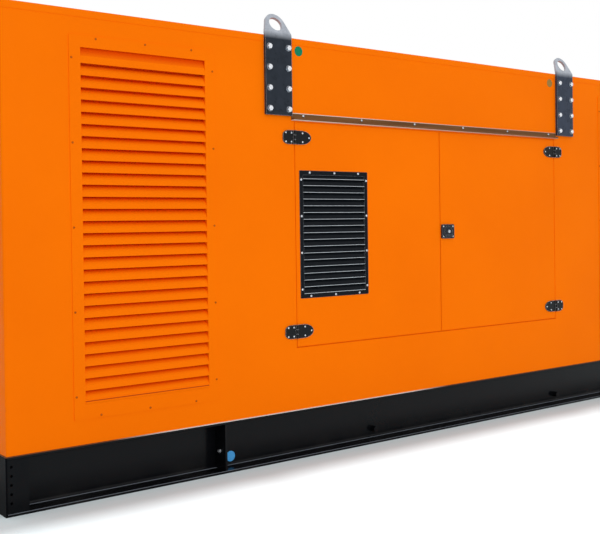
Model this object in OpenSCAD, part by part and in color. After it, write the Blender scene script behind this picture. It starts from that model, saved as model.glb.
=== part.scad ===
// Standby diesel generator in a weatherproof canopy on a steel base.
// Origin: centre of the underside of the base. +X runs along the length, -Y is the front, +Z is up.

/* [Canopy] */
// Length of the canopy
canopy_len = 5420; // [5200:10:6000]
// Width of the canopy, front to back
canopy_w = 1850; // [1750:10:2200]
// Height of the canopy above the base
canopy_h = 2000; // [1980:10:2300]
// Thickness of the lined walls
wall_t = 50; // [35:1:70]
// Height of the folded edge of the roof tray
roof_edge_h = 36; // [20:1:60]
// How far the roof tray stands proud of the walls
roof_lip = 2; // [1:0.5:6]
// Fold radius of the roof edges and of the upright corners
fold_r = 8; // [3:1:15]

/* [Base] */
// Height of the base
base_h = 260; // [220:5:320]
// How far the base stands proud of the canopy's long sides
base_lip = 8; // [4:1:20]
// Depth of the side rails, from flange edge to the back of the web
rail_depth = 108; // [80:1:140]
// Thickness of the base steel
rail_t = 8; // [5:1:12]
// Thickness of the side rails' flanges and of the stiffener
flange_t = 12; // [8:1:16]
// Radius of the fillets between the side rails' webs and flanges
rail_r = 14; // [6:1:24]
// Radius of the rounded edges of the side rails' flanges
toe_r = 5; // [2:0.5:7]
// Width of the plates that close the rails at the ends
end_plate_w = 100; // [80:1:160]
// How far the end plates are set back from the flanges' edges
end_plate_set = 6; // [5:1:20]
// Diameter of the holes in the end plates
end_hole_d = 13; // [9:0.5:18]
// Spacing of the holes in the end plates
end_hole_pitch = 40; // [30:1:44]
// Distance of the holes from the end of the canopy
end_hole_inset = 20; // [14:1:50]
// Height of the middle hole above the ground
end_hole_z = 137; // [120:1:150]
// Distance of the upright stiffener from the middle of the base
fin_x = 1571; // [1300:1:1800]
// Distance of the left drain boss from the middle of the base
drain_left_x = 488; // [200:1:900]
// Distance of the right drain boss from the middle of the base
drain_right_x = 1203; // [600:1:1800]
// Height of the drain bosses above the ground
drain_z = 60; // [40:1:120]
// Diameter of the drain bosses
drain_d = 34; // [20:1:50]
// Length of the drain bosses
drain_len = 32; // [15:1:60]
// Height of the underside of the tank above the ground
tank_clear = 25; // [15:1:60]

/* [Doors] */
// Width of the doorway that the pair of doors closes
door_open_w = 2220; // [2000:10:2300]
// Height of the doorway
door_open_h = 1220; // [1150:2:1300]
// Height of the doorway's sill above the base
door_sill_h = 336; // [300:1:380]
// Depth of the door pans
door_t = 45; // [30:1:50]
// Thickness of the door sheet
door_skin = 3; // [2:0.5:5]
// Gap between the doors and the doorway
door_gap = 6; // [5:0.5:10]
// Gap between the two doors
door_mid_gap = 8; // [8:0.5:12]
// Thickness of the acoustic lining in the doors
lining_t = 38; // [20:1:40]
// Gap round the acoustic lining
lining_gap = 1; // [0.5:0.5:5]

/* [Hinges] */
// Distance of the hinges from the top and bottom of the doorway
hinge_inset = 88; // [70:1:200]
// Height of the hinges
hinge_h = 74; // [60:1:100]
// Width of the leaf on the canopy, from the pin
hinge_frame_leaf_w = 76; // [60:1:84]
// Width of the leaf on the door, from the pin
hinge_door_leaf_w = 113; // [90:1:140]
// Length of the round nose of the leaf on the door
hinge_nose = 66; // [35:1:70]
// Width of the rounded corners of the leaf on the canopy
hinge_corner_w = 38; // [20:1:48]
// Height of the rounded corners of the leaf on the canopy
hinge_corner_h = 25; // [15:1:29]
// Thickness of the leaves
hinge_leaf_t = 6; // [4:0.5:7]
// Distance of the pin's axis from the canopy's face
pin_stand = 8; // [7.5:0.5:12]
// Diameter of the knuckles
knuckle_d = 14; // [12:0.5:15]
// Diameter of the hinge pins
pin_d = 6; // [5:0.5:8]
// Running clearance of the door knuckle, round the pin and at its ends
knuckle_clear = 0.5; // [0.3:0.1:1]

/* [Lock] */
// Width of the lock
lock_w = 106; // [96:1:130]
// Height of the lock
lock_h = 86; // [80:1:110]
// Thickness of the lock's housing
lock_t = 11; // [9:0.5:20]
// Distance of the lock from the edge of its door
lock_inset = 3; // [2:1:30]
// Corner radius of the lock
lock_r = 9; // [4:1:14]
// Width of the paddle in the housing
paddle_w = 68; // [50:1:72]
// Height of the paddle, with its round top
paddle_h = 60; // [50:1:64]
// Gap round the paddle
paddle_gap = 3; // [2:0.5:4]
// How far the paddle stands proud of the housing
paddle_rise = 3; // [1:0.5:6]
// Height of the finger lip at the foot of the paddle
paddle_lip_h = 8; // [5:0.5:12]
// How far the finger lip stands proud of the paddle
paddle_lip_rise = 5; // [2:0.5:8]
// Diameter of the key barrel
barrel_d = 20; // [14:1:26]

/* [Intake louvres] */
// Distance of an intake louvre from the doorway
louvre_door_gap = 502; // [300:2:600]
// Height of an intake louvre
louvre_h = 1764; // [1600:2:1850]
// Distance of an intake louvre from the end of the canopy
louvre_inset = 318; // [200:2:400]
// Width of the louvre's side borders
louvre_side = 56; // [40:1:80]
// Height of the louvre's top border
louvre_top = 56; // [40:1:80]
// Height of the louvre's bottom border
louvre_bottom = 90; // [40:1:100]
// Spacing of the louvre blades
louvre_pitch = 55.7; // [45:0.1:80]
// How far the lowest blade is tucked behind the bottom border
louvre_tuck = 14; // [0:1:30]
// Thickness of the louvre's sheet
louvre_t = 3; // [2:0.5:4]
// Depth of the louvre behind the wall's face
louvre_depth = 35; // [20:1:36]

/* [Door vents] */
// Width of the vent in the door
vent_w = 488; // [400:2:560]
// Height of the vent in the door
vent_h = 692; // [550:1:800]
// Distance of the vent from the hinged edge of its door
vent_inset = 26; // [15:1:60]
// Width of the vent's border
vent_border = 24; // [18:1:40]
// Spacing of the vent blades
vent_pitch = 36.6; // [30:0.1:45]
// Thickness of the vent's sheet
vent_t = 2.5; // [2:0.5:4]
// Depth of the vent behind the door's face
vent_depth = 22; // [14:1:28]

/* [Drip rails] */
// How far the drip rail reaches past the doorway at each end
drip_over = 17; // [5:1:30]
// Height of the drip rail
drip_h = 40; // [26:1:50]
// How far the drip rail stands out from the wall
drip_reach = 26; // [18:1:40]
// Thickness of the drip rail
drip_t = 3; // [2:0.5:5]
// Diameter of the rolled edge of the drip rail
drip_bead_d = 13; // [8:0.5:16]
// Height of the drip rail above the doorway
drip_rise = 2; // [0:0.5:8]

/* [Lifting lugs] */
// Distance of the lifting lugs from the middle of the canopy
lug_x = 1216; // [1210:1:1400]
// Width of a lifting lug
lug_w = 172; // [140:1:180]
// Thickness of a lifting lug
lug_t = 15; // [10:1:20]
// Height of the lug's foot above the doorway
lug_foot_gap = 24; // [4:1:100]
// Angle at which the lug's head leans in over the roof
lug_lean = 24; // [15:1:40]
// Inside radius of the lug's bend
lug_bend_r = 20; // [10:1:40]
// Distance from the bend to the middle of the eye
lug_eye_rise = 55; // [50:1:100]
// Diameter of the eye
lug_eye_d = 80; // [50:1:84]
// Radius of the lug's head
lug_head_r = 63; // [58:1:75]

/* [Engine bay] */
// Length of the engine
engine_len = 1500; // [1300:10:1550]
// Distance of the engine's flywheel end from the middle of the canopy
engine_start = 120; // [60:5:200]
// Width of the engine block at its skirt
block_w = 520; // [460:5:600]
// How far each side of the block steps in above its skirt
block_step = 70; // [40:5:90]
// Height of the block above the crankshaft
block_rise = 420; // [380:5:460]
// Height of the crankshaft above the base
crank_z = 470; // [430:5:520]
// Depth of the block's skirt below the crankshaft
skirt_drop = 160; // [120:5:200]
// Depth of the sump below the skirt
sump_h = 190; // [120:5:220]
// Number of cylinders
cylinders = 6; // [4:1:6]
// Width of the cylinder heads
head_w = 370; // [300:5:390]
// Height of the cylinder heads
head_h = 120; // [80:5:150]
// Height of the rocker covers
cover_h = 110; // [70:5:140]
// Diameter of the bell housing
flywheel_d = 640; // [500:5:700]
// Length of the bell housing
flywheel_len = 140; // [80:5:200]
// Diameter of the manifolds
manifold_d = 150; // [100:5:180]
// Height of the manifolds above the crankshaft
manifold_rise = 330; // [300:5:360]
// Diameter of the air filter
air_filter_d = 250; // [200:5:260]
// Length of the air filter
air_filter_len = 480; // [350:10:560]
// Diameter of the oil filters
oil_filter_d = 110; // [80:2:120]
// Height of the oil filters
oil_filter_h = 260; // [180:5:300]
// Diameter of the starter
starter_d = 150; // [110:5:160]
// Length of the starter
starter_len = 380; // [280:10:420]
// Height of the rubber mounts under the engine
mount_h = 70; // [40:5:90]
// Diameter of the alternator
alternator_d = 680; // [600:5:720]
// Length of the alternator
alternator_len = 1050; // [800:10:1150]
// Length of the alternator's terminal box
terminal_len = 560; // [400:10:600]
// Width of the alternator's terminal box
terminal_w = 520; // [400:10:560]
// Height of the terminal box above the alternator's barrel
terminal_rise = 150; // [80:5:200]
// Distance of the radiator from the walls
radiator_side_gap = 125; // [60:5:200]
// Height of the radiator
radiator_h = 1500; // [1350:10:1550]
// Thickness of the radiator
radiator_t = 220; // [150:5:260]
// Distance of the radiator from the engine
radiator_gap = 160; // [140:5:240]
// Width of the radiator's side channels
radiator_channel_w = 60; // [40:5:80]
// Height of the radiator's top and bottom tanks
radiator_tank_h = 130; // [100:5:150]
// Diameter of the opening in the fan cowl
cowl_d = 1050; // [800:10:1100]
// Depth of the fan cowl
cowl_depth = 90; // [80:5:120]
// Gap between the fan's tips and its cowl
fan_tip_gap = 20; // [10:1:40]
// Number of fan blades
fan_blades = 8; // [5:1:10]

/* [Exhaust] */
// Diameter of the exhaust pipe
exhaust_d = 150; // [120:5:180]
// Height of the exhaust outlet above the roof
outlet_h = 150; // [100:5:180]
// Distance of the exhaust outlet from the fan end of the engine
outlet_back = 290; // [250:10:400]
// Width of the rims of the pipe flanges
pipe_rim = 36; // [20:1:44]
// How far the rain cap reaches past the pipe
cap_over = 52; // [30:1:80]
// Height of the rain cap's cone
cap_rise = 28; // [15:1:40]
// Number of folds in the exhaust bellows
bellows_folds = 10; // [6:1:14]
// Spacing of the folds in the exhaust bellows
bellows_pitch = 26; // [18:1:32]

/* [Hidden] */
$fn = 48;

orange = [0.93, 0.36, 0.02];
black = [0.06, 0.06, 0.07];
lug_grey = [0.16, 0.18, 0.22];
steel_grey = [0.45, 0.46, 0.48];
engine_grey = [0.30, 0.33, 0.36];
lining_grey = [0.16, 0.16, 0.17];

eps = 0.5;
half_len = canopy_len / 2;
half_w = canopy_w / 2;
canopy_top = base_h + canopy_h;
wall_top = canopy_top - roof_edge_h;
web_y = half_w + base_lip - rail_depth;
door_half = door_open_w / 2;
door_z0 = base_h + door_sill_h;
door_z1 = door_z0 + door_open_h;
door_mid_z = (door_z0 + door_z1) / 2;
leaf_w = door_half - door_gap - door_mid_gap / 2;
leaf_h = door_open_h - 2 * door_gap;
pin_y = -half_w - pin_stand;
vent_x = -door_half + door_gap + vent_inset + vent_w / 2;
side_wall_len = half_len - door_half;
louvre_w = side_wall_len - louvre_inset - louvre_door_gap;
louvre_x = half_len - louvre_inset - louvre_w / 2;
louvre_z = base_h + canopy_h / 2;
louvre_open_z = louvre_z + (louvre_bottom - louvre_top) / 2;
deck_z = base_h;
engine_x0 = -engine_start;
engine_x1 = engine_x0 + engine_len;
crank_h = deck_z + crank_z;
block_top = crank_h + block_rise;
skirt_z = crank_h - skirt_drop;
cover_top = block_top + head_h + cover_h;
bay = engine_len / cylinders;
manifold_y = block_w / 2 + manifold_d / 3;
manifold_z = crank_h + manifold_rise;
manifold_top = manifold_z + manifold_d;
manifold_end = bay / 3;
outlet_x = engine_x1 - outlet_back;
radiator_x = engine_x1 + radiator_gap;
radiator_w = canopy_w - 2 * (wall_t + radiator_side_gap);
fan_z = deck_z + radiator_h / 2;
alternator_x = engine_x0 - flywheel_len;
discharge_w = canopy_w - 2 * louvre_inset;
hinge_zs = [door_z0 + hinge_inset, door_z1 - hinge_inset];
knuckle_h = hinge_h / 3;
lug_drop = canopy_top - door_z1 - lug_foot_gap;
leaf_start = knuckle_d / 2 + 2 * knuckle_clear;
pipe_flange_t = 12;
pipe_wall = 5;
gusset_t = 14;
shoulder_rise = 60;
head_gap = 20;
cover_gap = 60;
cast_r = 30;
lid_t = 10;
rim_t = 18;
rim_w = 30;
runner_d = 70;
duct_d = 110;
foot_len = 100;
foot_reach = 100;
foot_t = 30;
plate_t = 6;
bend_steps = 6;
blade_steps = 6;
nose_steps = 12;
corner_steps = 6;

// Outline in Y and Z from the points of its right half, from bottom to top
function both_halves(points) = concat(
  points, [for (i = [len(points) - 1:-1:0]) [-points[i][0], points[i][1]]]
);

// Points of a quarter of an ellipse, starting at an angle
function quarter(w, h, start) = [
  for (i = [0:corner_steps]) let (a = start + 90 * i / corner_steps) [w * cos(a), h * sin(a)]
];

// Points moved sideways and up
function moved(points, by) = [for (p = points) p + by];

// A thing at the front and its mirror image at the rear
module at_rear() {
  mirror([0, 1, 0]) children();
}

// A thing at the left and its mirror image at the right
module at_right() {
  mirror([1, 0, 0]) children();
}

// Flat outline with four round corners, centred
module rounded_outline(w, h, r) {
  square([w - 2 * r, h], center = true);
  square([w, h - 2 * r], center = true);
  for (sx = [-1, 1], sz = [-1, 1]) {
    translate([sx * (w / 2 - r), sz * (h / 2 - r)]) circle(r);
  }
}

// Upright plate facing the front: its outline in X and Z, its back on the plane y
module front_plate(y, t) {
  translate([0, y, 0]) rotate([90, 0, 0]) linear_extrude(t) children();
}

// Section in Y and Z run along X
module along_x(x0, x1) {
  translate([x0, 0, 0]) rotate([90, 0, 90]) linear_extrude(x1 - x0) children();
}

// Round bar along X
module bar_x(x0, x1, y, z, d) {
  translate([x0, y, z]) rotate([0, 90, 0]) cylinder(d = d, h = x1 - x0);
}

// Corner filled with a fillet, in the quarter where both coordinates are positive
module fillet_outline(r) {
  difference() {
    square(r);
    translate([r, r]) circle(r);
  }
}

// Section of a side rail from its open side to its web: a rolled channel with rounded flange edges
module rail_section() {
  difference() {
    square([rail_depth, base_h]);
    translate([-eps, flange_t]) square([rail_depth - rail_t + eps, base_h - 2 * flange_t]);
    translate([0, flange_t]) mirror([0, 1]) fillet_outline(toe_r);
    translate([0, base_h - flange_t]) fillet_outline(toe_r);
  }
  translate([rail_depth - rail_t, flange_t]) mirror([1, 0]) fillet_outline(rail_r);
  translate([rail_depth - rail_t, base_h - flange_t]) mirror([1, 0]) mirror([0, 1]) fillet_outline(rail_r);
}

// Front side rail: a channel open to the outside, with a stiffener and two drain bosses
module rail() {
  outer_y = -(half_w + base_lip);
  along_x(-half_len, half_len) translate([outer_y, 0]) rail_section();
  translate([-fin_x - flange_t / 2, outer_y + toe_r, flange_t - eps]) {
    cube([flange_t, rail_depth - rail_t - toe_r + eps, base_h - 2 * flange_t + 2 * eps]);
  }
  for (x = [-drain_left_x, drain_right_x]) {
    translate([x, -web_y - rail_t + eps, drain_z]) {
      rotate([90, 0, 0]) cylinder(d = drain_d, h = drain_len + eps);
    }
  }
}

module base_front_rail() {
  color(black) rail();
}

module base_rear_rail() {
  color(black) at_rear() rail();
}

// Cross beams that close the base at its two ends
module base_end_beams() {
  color(black) for (s = [0, 1]) mirror([s, 0, 0]) {
    translate([-half_len - rail_t, -half_w - base_lip, 0]) {
      cube([rail_t, canopy_w + 2 * base_lip, base_h]);
    }
    for (z = [0, base_h - rail_t]) {
      translate([-half_len - eps, -web_y, z]) cube([rail_depth, 2 * web_y, rail_t]);
    }
  }
}

// Fuel tank between the side rails, whose top is the floor under the engine
module base_tank() {
  tank_len = canopy_len - 2 * rail_depth;
  color(black) translate([-tank_len / 2, -web_y, tank_clear]) {
    cube([tank_len, 2 * web_y, base_h - tank_clear]);
  }
}

// Drilled plates that close the side rails beside the corners
module base_end_plates() {
  plate_h = base_h - 2 * flange_t;
  plate_y = -half_w - base_lip + end_plate_set;
  color(black) for (sx = [0, 1], sy = [0, 1]) mirror([sx, 0, 0]) mirror([0, sy, 0]) {
    difference() {
      translate([-half_len, plate_y, flange_t]) cube([end_plate_w, rail_t, plate_h]);
      for (i = [-2:2]) {
        translate([-half_len + end_hole_inset, plate_y - eps, end_hole_z + i * end_hole_pitch]) {
          rotate([-90, 0, 0]) cylinder(d = end_hole_d, h = rail_t + 2 * eps);
        }
      }
    }
  }
}

// Wall beside the doorway, with a folded corner and a pocket behind its louvre
module side_wall() {
  pocket_w = louvre_w - 2 * louvre_side + 2 * louvre_t;
  pocket_h = louvre_h - louvre_top - louvre_bottom + 2 * louvre_t;
  difference() {
    translate([0, 0, base_h]) linear_extrude(wall_top - base_h) {
      translate([-half_len + fold_r, -half_w]) square([side_wall_len - fold_r, wall_t]);
      translate([-half_len, -half_w + fold_r]) square([side_wall_len, wall_t - fold_r]);
      translate([-half_len + fold_r, -half_w + fold_r]) circle(fold_r);
    }
    translate([-louvre_x - pocket_w / 2, -half_w - eps, louvre_open_z - pocket_h / 2]) {
      cube([pocket_w, louvre_depth + 2 * eps, pocket_h]);
    }
  }
}

module front_left_wall() {
  color(orange) side_wall();
}

module front_right_wall() {
  color(orange) at_right() side_wall();
}

module rear_left_wall() {
  color(orange) at_rear() side_wall();
}

module rear_right_wall() {
  color(orange) at_rear() at_right() side_wall();
}

// Wall over the doorway
module header() {
  translate([-door_half, -half_w, door_z1]) cube([door_open_w, wall_t, wall_top - door_z1]);
}

module front_header() {
  color(orange) header();
}

module rear_header() {
  color(orange) at_rear() header();
}

// Wall under the doorway
module sill() {
  translate([-door_half, -half_w, base_h]) cube([door_open_w, wall_t, door_sill_h]);
}

module front_sill() {
  color(orange) sill();
}

module rear_sill() {
  color(orange) at_rear() sill();
}

// Wall across one end, between the long walls
module end_wall() {
  translate([-half_len, -half_w + wall_t, base_h]) {
    cube([wall_t, canopy_w - 2 * wall_t, wall_top - base_h]);
  }
}

module left_end_wall() {
  color(orange) end_wall();
}

module right_end_wall() {
  pocket_w = discharge_w - 2 * louvre_side + 2 * louvre_t;
  pocket_h = louvre_h - louvre_top - louvre_bottom + 2 * louvre_t;
  color(orange) difference() {
    at_right() end_wall();
    translate([half_len - louvre_depth - eps, -pocket_w / 2, louvre_open_z - pocket_h / 2]) {
      cube([louvre_depth + 2 * eps, pocket_w, pocket_h]);
    }
  }
}

// Half of the roof's section, with one folded edge
module roof_section(half) {
  translate([-half, 0]) square([2 * half, roof_edge_h - fold_r]);
  translate([-half + fold_r, 0]) square([2 * (half - fold_r), roof_edge_h]);
  for (s = [-1, 1]) translate([s * (half - fold_r), roof_edge_h - fold_r]) circle(fold_r);
}

// Roof tray, resting on the walls, with folded edges on all four sides
module roof() {
  roof_half_len = half_len + roof_lip;
  roof_half_w = half_w + roof_lip;
  color(orange) translate([0, 0, wall_top]) intersection() {
    along_x(-roof_half_len, roof_half_len) roof_section(roof_half_w);
    rotate([0, 0, 90]) along_x(-roof_half_w, roof_half_w) roof_section(roof_half_len);
  }
}

// Door pan: a sheet with folded edges, open to the inside
module door_pan() {
  x0 = -door_half + door_gap;
  difference() {
    translate([x0, -half_w, door_z0 + door_gap]) cube([leaf_w, door_t, leaf_h]);
    translate([x0 + door_skin, -half_w + door_skin, door_z0 + door_gap + door_skin]) {
      cube([leaf_w - 2 * door_skin, door_t, leaf_h - 2 * door_skin]);
    }
  }
}

// Door pan with a vent
module vented_door_pan() {
  difference() {
    door_pan();
    vent_cut();
  }
}

module front_left_door() {
  color(orange) vented_door_pan();
}

module front_right_door() {
  color(orange) at_right() door_pan();
}

module rear_doors() {
  color(orange) at_rear() {
    vented_door_pan();
    at_right() door_pan();
  }
}

// Acoustic lining in a door pan
module door_lining() {
  inset = door_skin + lining_gap;
  translate([-door_half + door_gap + inset, -half_w + door_skin, door_z0 + door_gap + inset]) {
    cube([leaf_w - 2 * inset, lining_t, leaf_h - 2 * inset]);
  }
}

module front_left_door_lining() {
  color(lining_grey) difference() {
    door_lining();
    vent_cut();
  }
}

module front_right_door_lining() {
  color(lining_grey) at_right() door_lining();
}

// Points up the face of a curved blade: upright at its foot, leaning back at its top
function blade_arc(r, h) = [
  for (i = [0:blade_steps]) let (a = asin(h / r) * i / blade_steps) [-r * cos(a), r * sin(a)]
];

// Section of a curved blade, its foot at the front of the louvre
module blade_section(depth, h, t) {
  r = (depth * depth + h * h) / (2 * depth);
  face = blade_arc(r, h);
  back = blade_arc(r - t, h - t);
  translate([r, 0]) polygon(concat(face, [for (i = [blade_steps:-1:0]) back[i]]));
}

// Louvre: a bordered sheet with a box behind it and curved blades that shed rain outwards
module louvre(w, h, side, top, bottom, sheet, depth, pitch, tuck) {
  open_w = w - 2 * side;
  open_h = h - top - bottom;
  open_z = (bottom - top) / 2;
  foot_z = open_z - open_h / 2 - tuck;
  count = round((open_h + tuck) / pitch);
  top_foot_z = foot_z + (count - 1) * pitch;
  difference() {
    union() {
      front_plate(0, sheet) rounded_outline(w, h, 2 * sheet);
      front_plate(depth, depth + eps) {
        translate([0, open_z]) square([open_w + 2 * sheet, open_h + 2 * sheet], center = true);
      }
    }
    front_plate(depth + eps, depth + sheet + 2 * eps) {
      translate([0, open_z]) square([open_w, open_h], center = true);
    }
  }
  along_x(-open_w / 2 - sheet / 2, open_w / 2 + sheet / 2) intersection() {
    union() {
      for (i = [0:count - 2]) translate([-sheet, foot_z + i * pitch]) blade_section(depth, pitch, sheet);
      translate([-sheet, top_foot_z]) blade_section(depth / 2, open_z + open_h / 2 + sheet - top_foot_z, sheet);
    }
    translate([-2 * sheet, open_z - open_h / 2 - sheet / 2]) square([2 * depth, open_h + sheet]);
  }
}

module intake_louvre() {
  translate([-louvre_x, -half_w, louvre_z]) {
    louvre(louvre_w, louvre_h, louvre_side, louvre_top, louvre_bottom, louvre_t, louvre_depth,
      louvre_pitch, louvre_tuck);
  }
}

module front_left_louvre() {
  color(orange) intake_louvre();
}

module front_right_louvre() {
  color(orange) at_right() intake_louvre();
}

module rear_left_louvre() {
  color(orange) at_rear() intake_louvre();
}

module rear_right_louvre() {
  color(orange) at_rear() at_right() intake_louvre();
}

// Louvre in front of the radiator, at the right end
module discharge_louvre() {
  color(orange) translate([half_len, 0, louvre_z]) rotate([0, 0, 90]) {
    louvre(discharge_w, louvre_h, louvre_side, louvre_top, louvre_bottom, louvre_t, louvre_depth,
      louvre_pitch, louvre_tuck);
  }
}

// Vent in the left door
module door_vent() {
  translate([vent_x, -half_w, door_mid_z]) {
    louvre(vent_w, vent_h, vent_border, vent_border, vent_border, vent_t, vent_depth, vent_pitch, 0);
  }
}

// Space that the vent takes up in the door
module vent_cut() {
  cut_w = vent_w - 2 * vent_border + 2 * vent_t;
  cut_h = vent_h - 2 * vent_border + 2 * vent_t;
  translate([vent_x, 0, door_mid_z]) {
    front_plate(-half_w + vent_depth + eps, vent_depth + 2 * eps) square([cut_w, cut_h], center = true);
  }
}

module front_door_vent() {
  color(black) door_vent();
}

module rear_door_vent() {
  color(black) at_rear() door_vent();
}

// Drip rail over the doorway: an angle with a rolled front edge
module drip_rail() {
  z0 = door_z1 + drip_rise;
  along_x(-door_half - drip_over, door_half + drip_over) translate([-half_w, z0]) {
    translate([-drip_t, 0]) square([drip_t, drip_h]);
    translate([-drip_reach + drip_bead_d / 2, 0]) square([drip_reach - drip_bead_d / 2, drip_t]);
    translate([-drip_t, drip_t]) mirror([1, 0]) fillet_outline(drip_t);
    translate([-drip_reach + drip_bead_d / 2, drip_bead_d / 2]) circle(d = drip_bead_d);
  }
}

module front_drip_rail() {
  color(lug_grey) drip_rail();
}

module rear_drip_rail() {
  color(lug_grey) at_rear() drip_rail();
}

// Leaf on the canopy, with rounded corners, the two outer knuckles and the pin
module frame_leaf() {
  corner_x = -hinge_frame_leaf_w + hinge_corner_w;
  corner_z = hinge_h / 2 - hinge_corner_h;
  translate([-door_half, 0, 0]) {
    front_plate(-half_w, hinge_leaf_t) polygon(concat(
      [[-leaf_start, -hinge_h / 2], [-leaf_start, hinge_h / 2]],
      moved(quarter(hinge_corner_w, hinge_corner_h, 90), [corner_x, corner_z]),
      moved(quarter(hinge_corner_w, hinge_corner_h, 180), [corner_x, -corner_z])
    ));
    translate([0, pin_y, -hinge_h / 2]) cylinder(d = pin_d, h = hinge_h);
    for (s = [-1, 1]) {
      translate([0, pin_y, s * knuckle_h - knuckle_h / 2]) cylinder(d = knuckle_d, h = knuckle_h);
      translate([-leaf_start - eps, -half_w - hinge_leaf_t, s * knuckle_h - knuckle_h / 2]) {
        cube([leaf_start + eps, hinge_leaf_t - knuckle_clear, knuckle_h]);
      }
    }
  }
}

// Leaf on the door, round at its free end, with the middle knuckle
module door_leaf() {
  mid_h = knuckle_h - 2 * knuckle_clear;
  straight = hinge_door_leaf_w - leaf_start - hinge_nose;
  nose = [
    for (i = [0:nose_steps]) let (a = 90 - 180 * i / nose_steps)
      [leaf_start + straight + hinge_nose * cos(a), hinge_h / 2 * sin(a)]
  ];
  translate([-door_half, 0, 0]) difference() {
    union() {
      front_plate(-half_w, hinge_leaf_t) {
        polygon(concat([[leaf_start, -hinge_h / 2], [leaf_start, hinge_h / 2]], nose));
      }
      translate([0, pin_y, -mid_h / 2]) cylinder(d = knuckle_d, h = mid_h);
      translate([0, -half_w - hinge_leaf_t, -mid_h / 2]) {
        cube([leaf_start + eps, hinge_leaf_t - knuckle_clear, mid_h]);
      }
    }
    translate([0, pin_y, -hinge_h / 2]) cylinder(d = pin_d + 2 * knuckle_clear, h = hinge_h);
  }
}

module front_hinge_frame_leaves() {
  color(black) for (z = hinge_zs, s = [0, 1]) mirror([s, 0, 0]) translate([0, 0, z]) frame_leaf();
}

module front_left_door_leaves() {
  color(black) for (z = hinge_zs) translate([0, 0, z]) door_leaf();
}

module front_right_door_leaves() {
  color(black) at_right() for (z = hinge_zs) translate([0, 0, z]) door_leaf();
}

module rear_hinges() {
  color(black) at_rear() for (z = hinge_zs, s = [0, 1]) mirror([s, 0, 0]) translate([0, 0, z]) {
    frame_leaf();
    door_leaf();
  }
}

// Outline of the lock's paddle: straight sides and a round top, grown by a gap
module paddle_outline(grow) {
  half = paddle_w / 2 + grow;
  translate([-half, -paddle_h / 2 - grow]) square([2 * half, paddle_h + grow - paddle_w / 2]);
  translate([0, (paddle_h - paddle_w) / 2]) circle(half);
}

// Lock on the right door: a housing with a paddle in a pocket, a finger lip and a key barrel
module lock() {
  pocket_depth = lock_t / 2;
  lip_z = -paddle_h / 2;
  translate([door_mid_gap / 2 + lock_inset + lock_w / 2, 0, door_mid_z]) {
    difference() {
      front_plate(-half_w, lock_t) rounded_outline(lock_w, lock_h, lock_r);
      front_plate(-half_w - lock_t + pocket_depth, lock_t) paddle_outline(paddle_gap);
    }
    front_plate(-half_w - lock_t + pocket_depth + eps, pocket_depth + eps + paddle_rise) paddle_outline(0);
    front_plate(-half_w - lock_t, paddle_rise + paddle_lip_rise) {
      translate([0, lip_z + paddle_lip_h / 2]) square([paddle_w, paddle_lip_h], center = true);
    }
    front_plate(-half_w - lock_t, paddle_rise + paddle_lip_rise) circle(d = barrel_d);
  }
}

module front_lock() {
  color(black) lock();
}

module rear_lock() {
  color(black) at_rear() lock();
}

// Points round the lug's bend at a given radius, from the wall to the leaning head
function bend_arc(r) = [
  for (i = [0:bend_steps]) let (a = lug_lean * i / bend_steps) [lug_bend_r - r * cos(a), r * sin(a)]
];

// Points of the same arc, from the head back to the wall
function bend_arc_back(r) = [
  for (i = [bend_steps:-1:0]) let (a = lug_lean * i / bend_steps) [lug_bend_r - r * cos(a), r * sin(a)]
];

// Outline of the lug's head: a round eye end with sides that run out to the full width
module lug_head_outline() {
  reach = norm([lug_w / 2, lug_eye_rise]);
  turn = acos(lug_head_r / reach) - atan2(lug_eye_rise, lug_w / 2);
  touch = [lug_head_r * cos(turn), lug_eye_rise + lug_head_r * sin(turn)];
  run_out = [2 * lug_w / 2 - touch[0], -touch[1]];
  polygon([touch, run_out, [-run_out[0], run_out[1]], [-touch[0], touch[1]]]);
  translate([0, lug_eye_rise]) circle(lug_head_r);
}

// Lifting lug: a plate bolted to the wall and bent in over the roof, with an eye in its head
module lifting_lug() {
  head_l = lug_eye_rise + lug_head_r + lug_t;
  lean_way = [sin(lug_lean), cos(lug_lean)] * head_l;
  outer = bend_arc(lug_bend_r + lug_t);
  inner = bend_arc_back(lug_bend_r);
  translate([-lug_x, -half_w - roof_lip, canopy_top]) difference() {
    along_x(-lug_w / 2, lug_w / 2) polygon(concat(
      [[-lug_t, -lug_drop]], outer, [outer[bend_steps] + lean_way, inner[0] + lean_way], inner,
      [[0, -lug_drop]]
    ));
    translate([0, lug_bend_r, 0]) rotate([-lug_lean, 0, 0]) {
      translate([0, -lug_bend_r + lug_t, 0]) rotate([90, 0, 0]) linear_extrude(3 * lug_t) {
        difference() {
          translate([-lug_w, -lug_t / 2]) square([2 * lug_w, 2 * head_l]);
          lug_head_outline();
        }
        translate([0, lug_eye_rise]) circle(d = lug_eye_d);
      }
    }
  }
}

module lifting_lug_front_left() {
  color(lug_grey) lifting_lug();
}

module lifting_lug_front_right() {
  color(lug_grey) at_right() lifting_lug();
}

module lifting_lug_rear_left() {
  color(lug_grey) at_rear() lifting_lug();
}

module lifting_lug_rear_right() {
  color(lug_grey) at_rear() at_right() lifting_lug();
}

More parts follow.
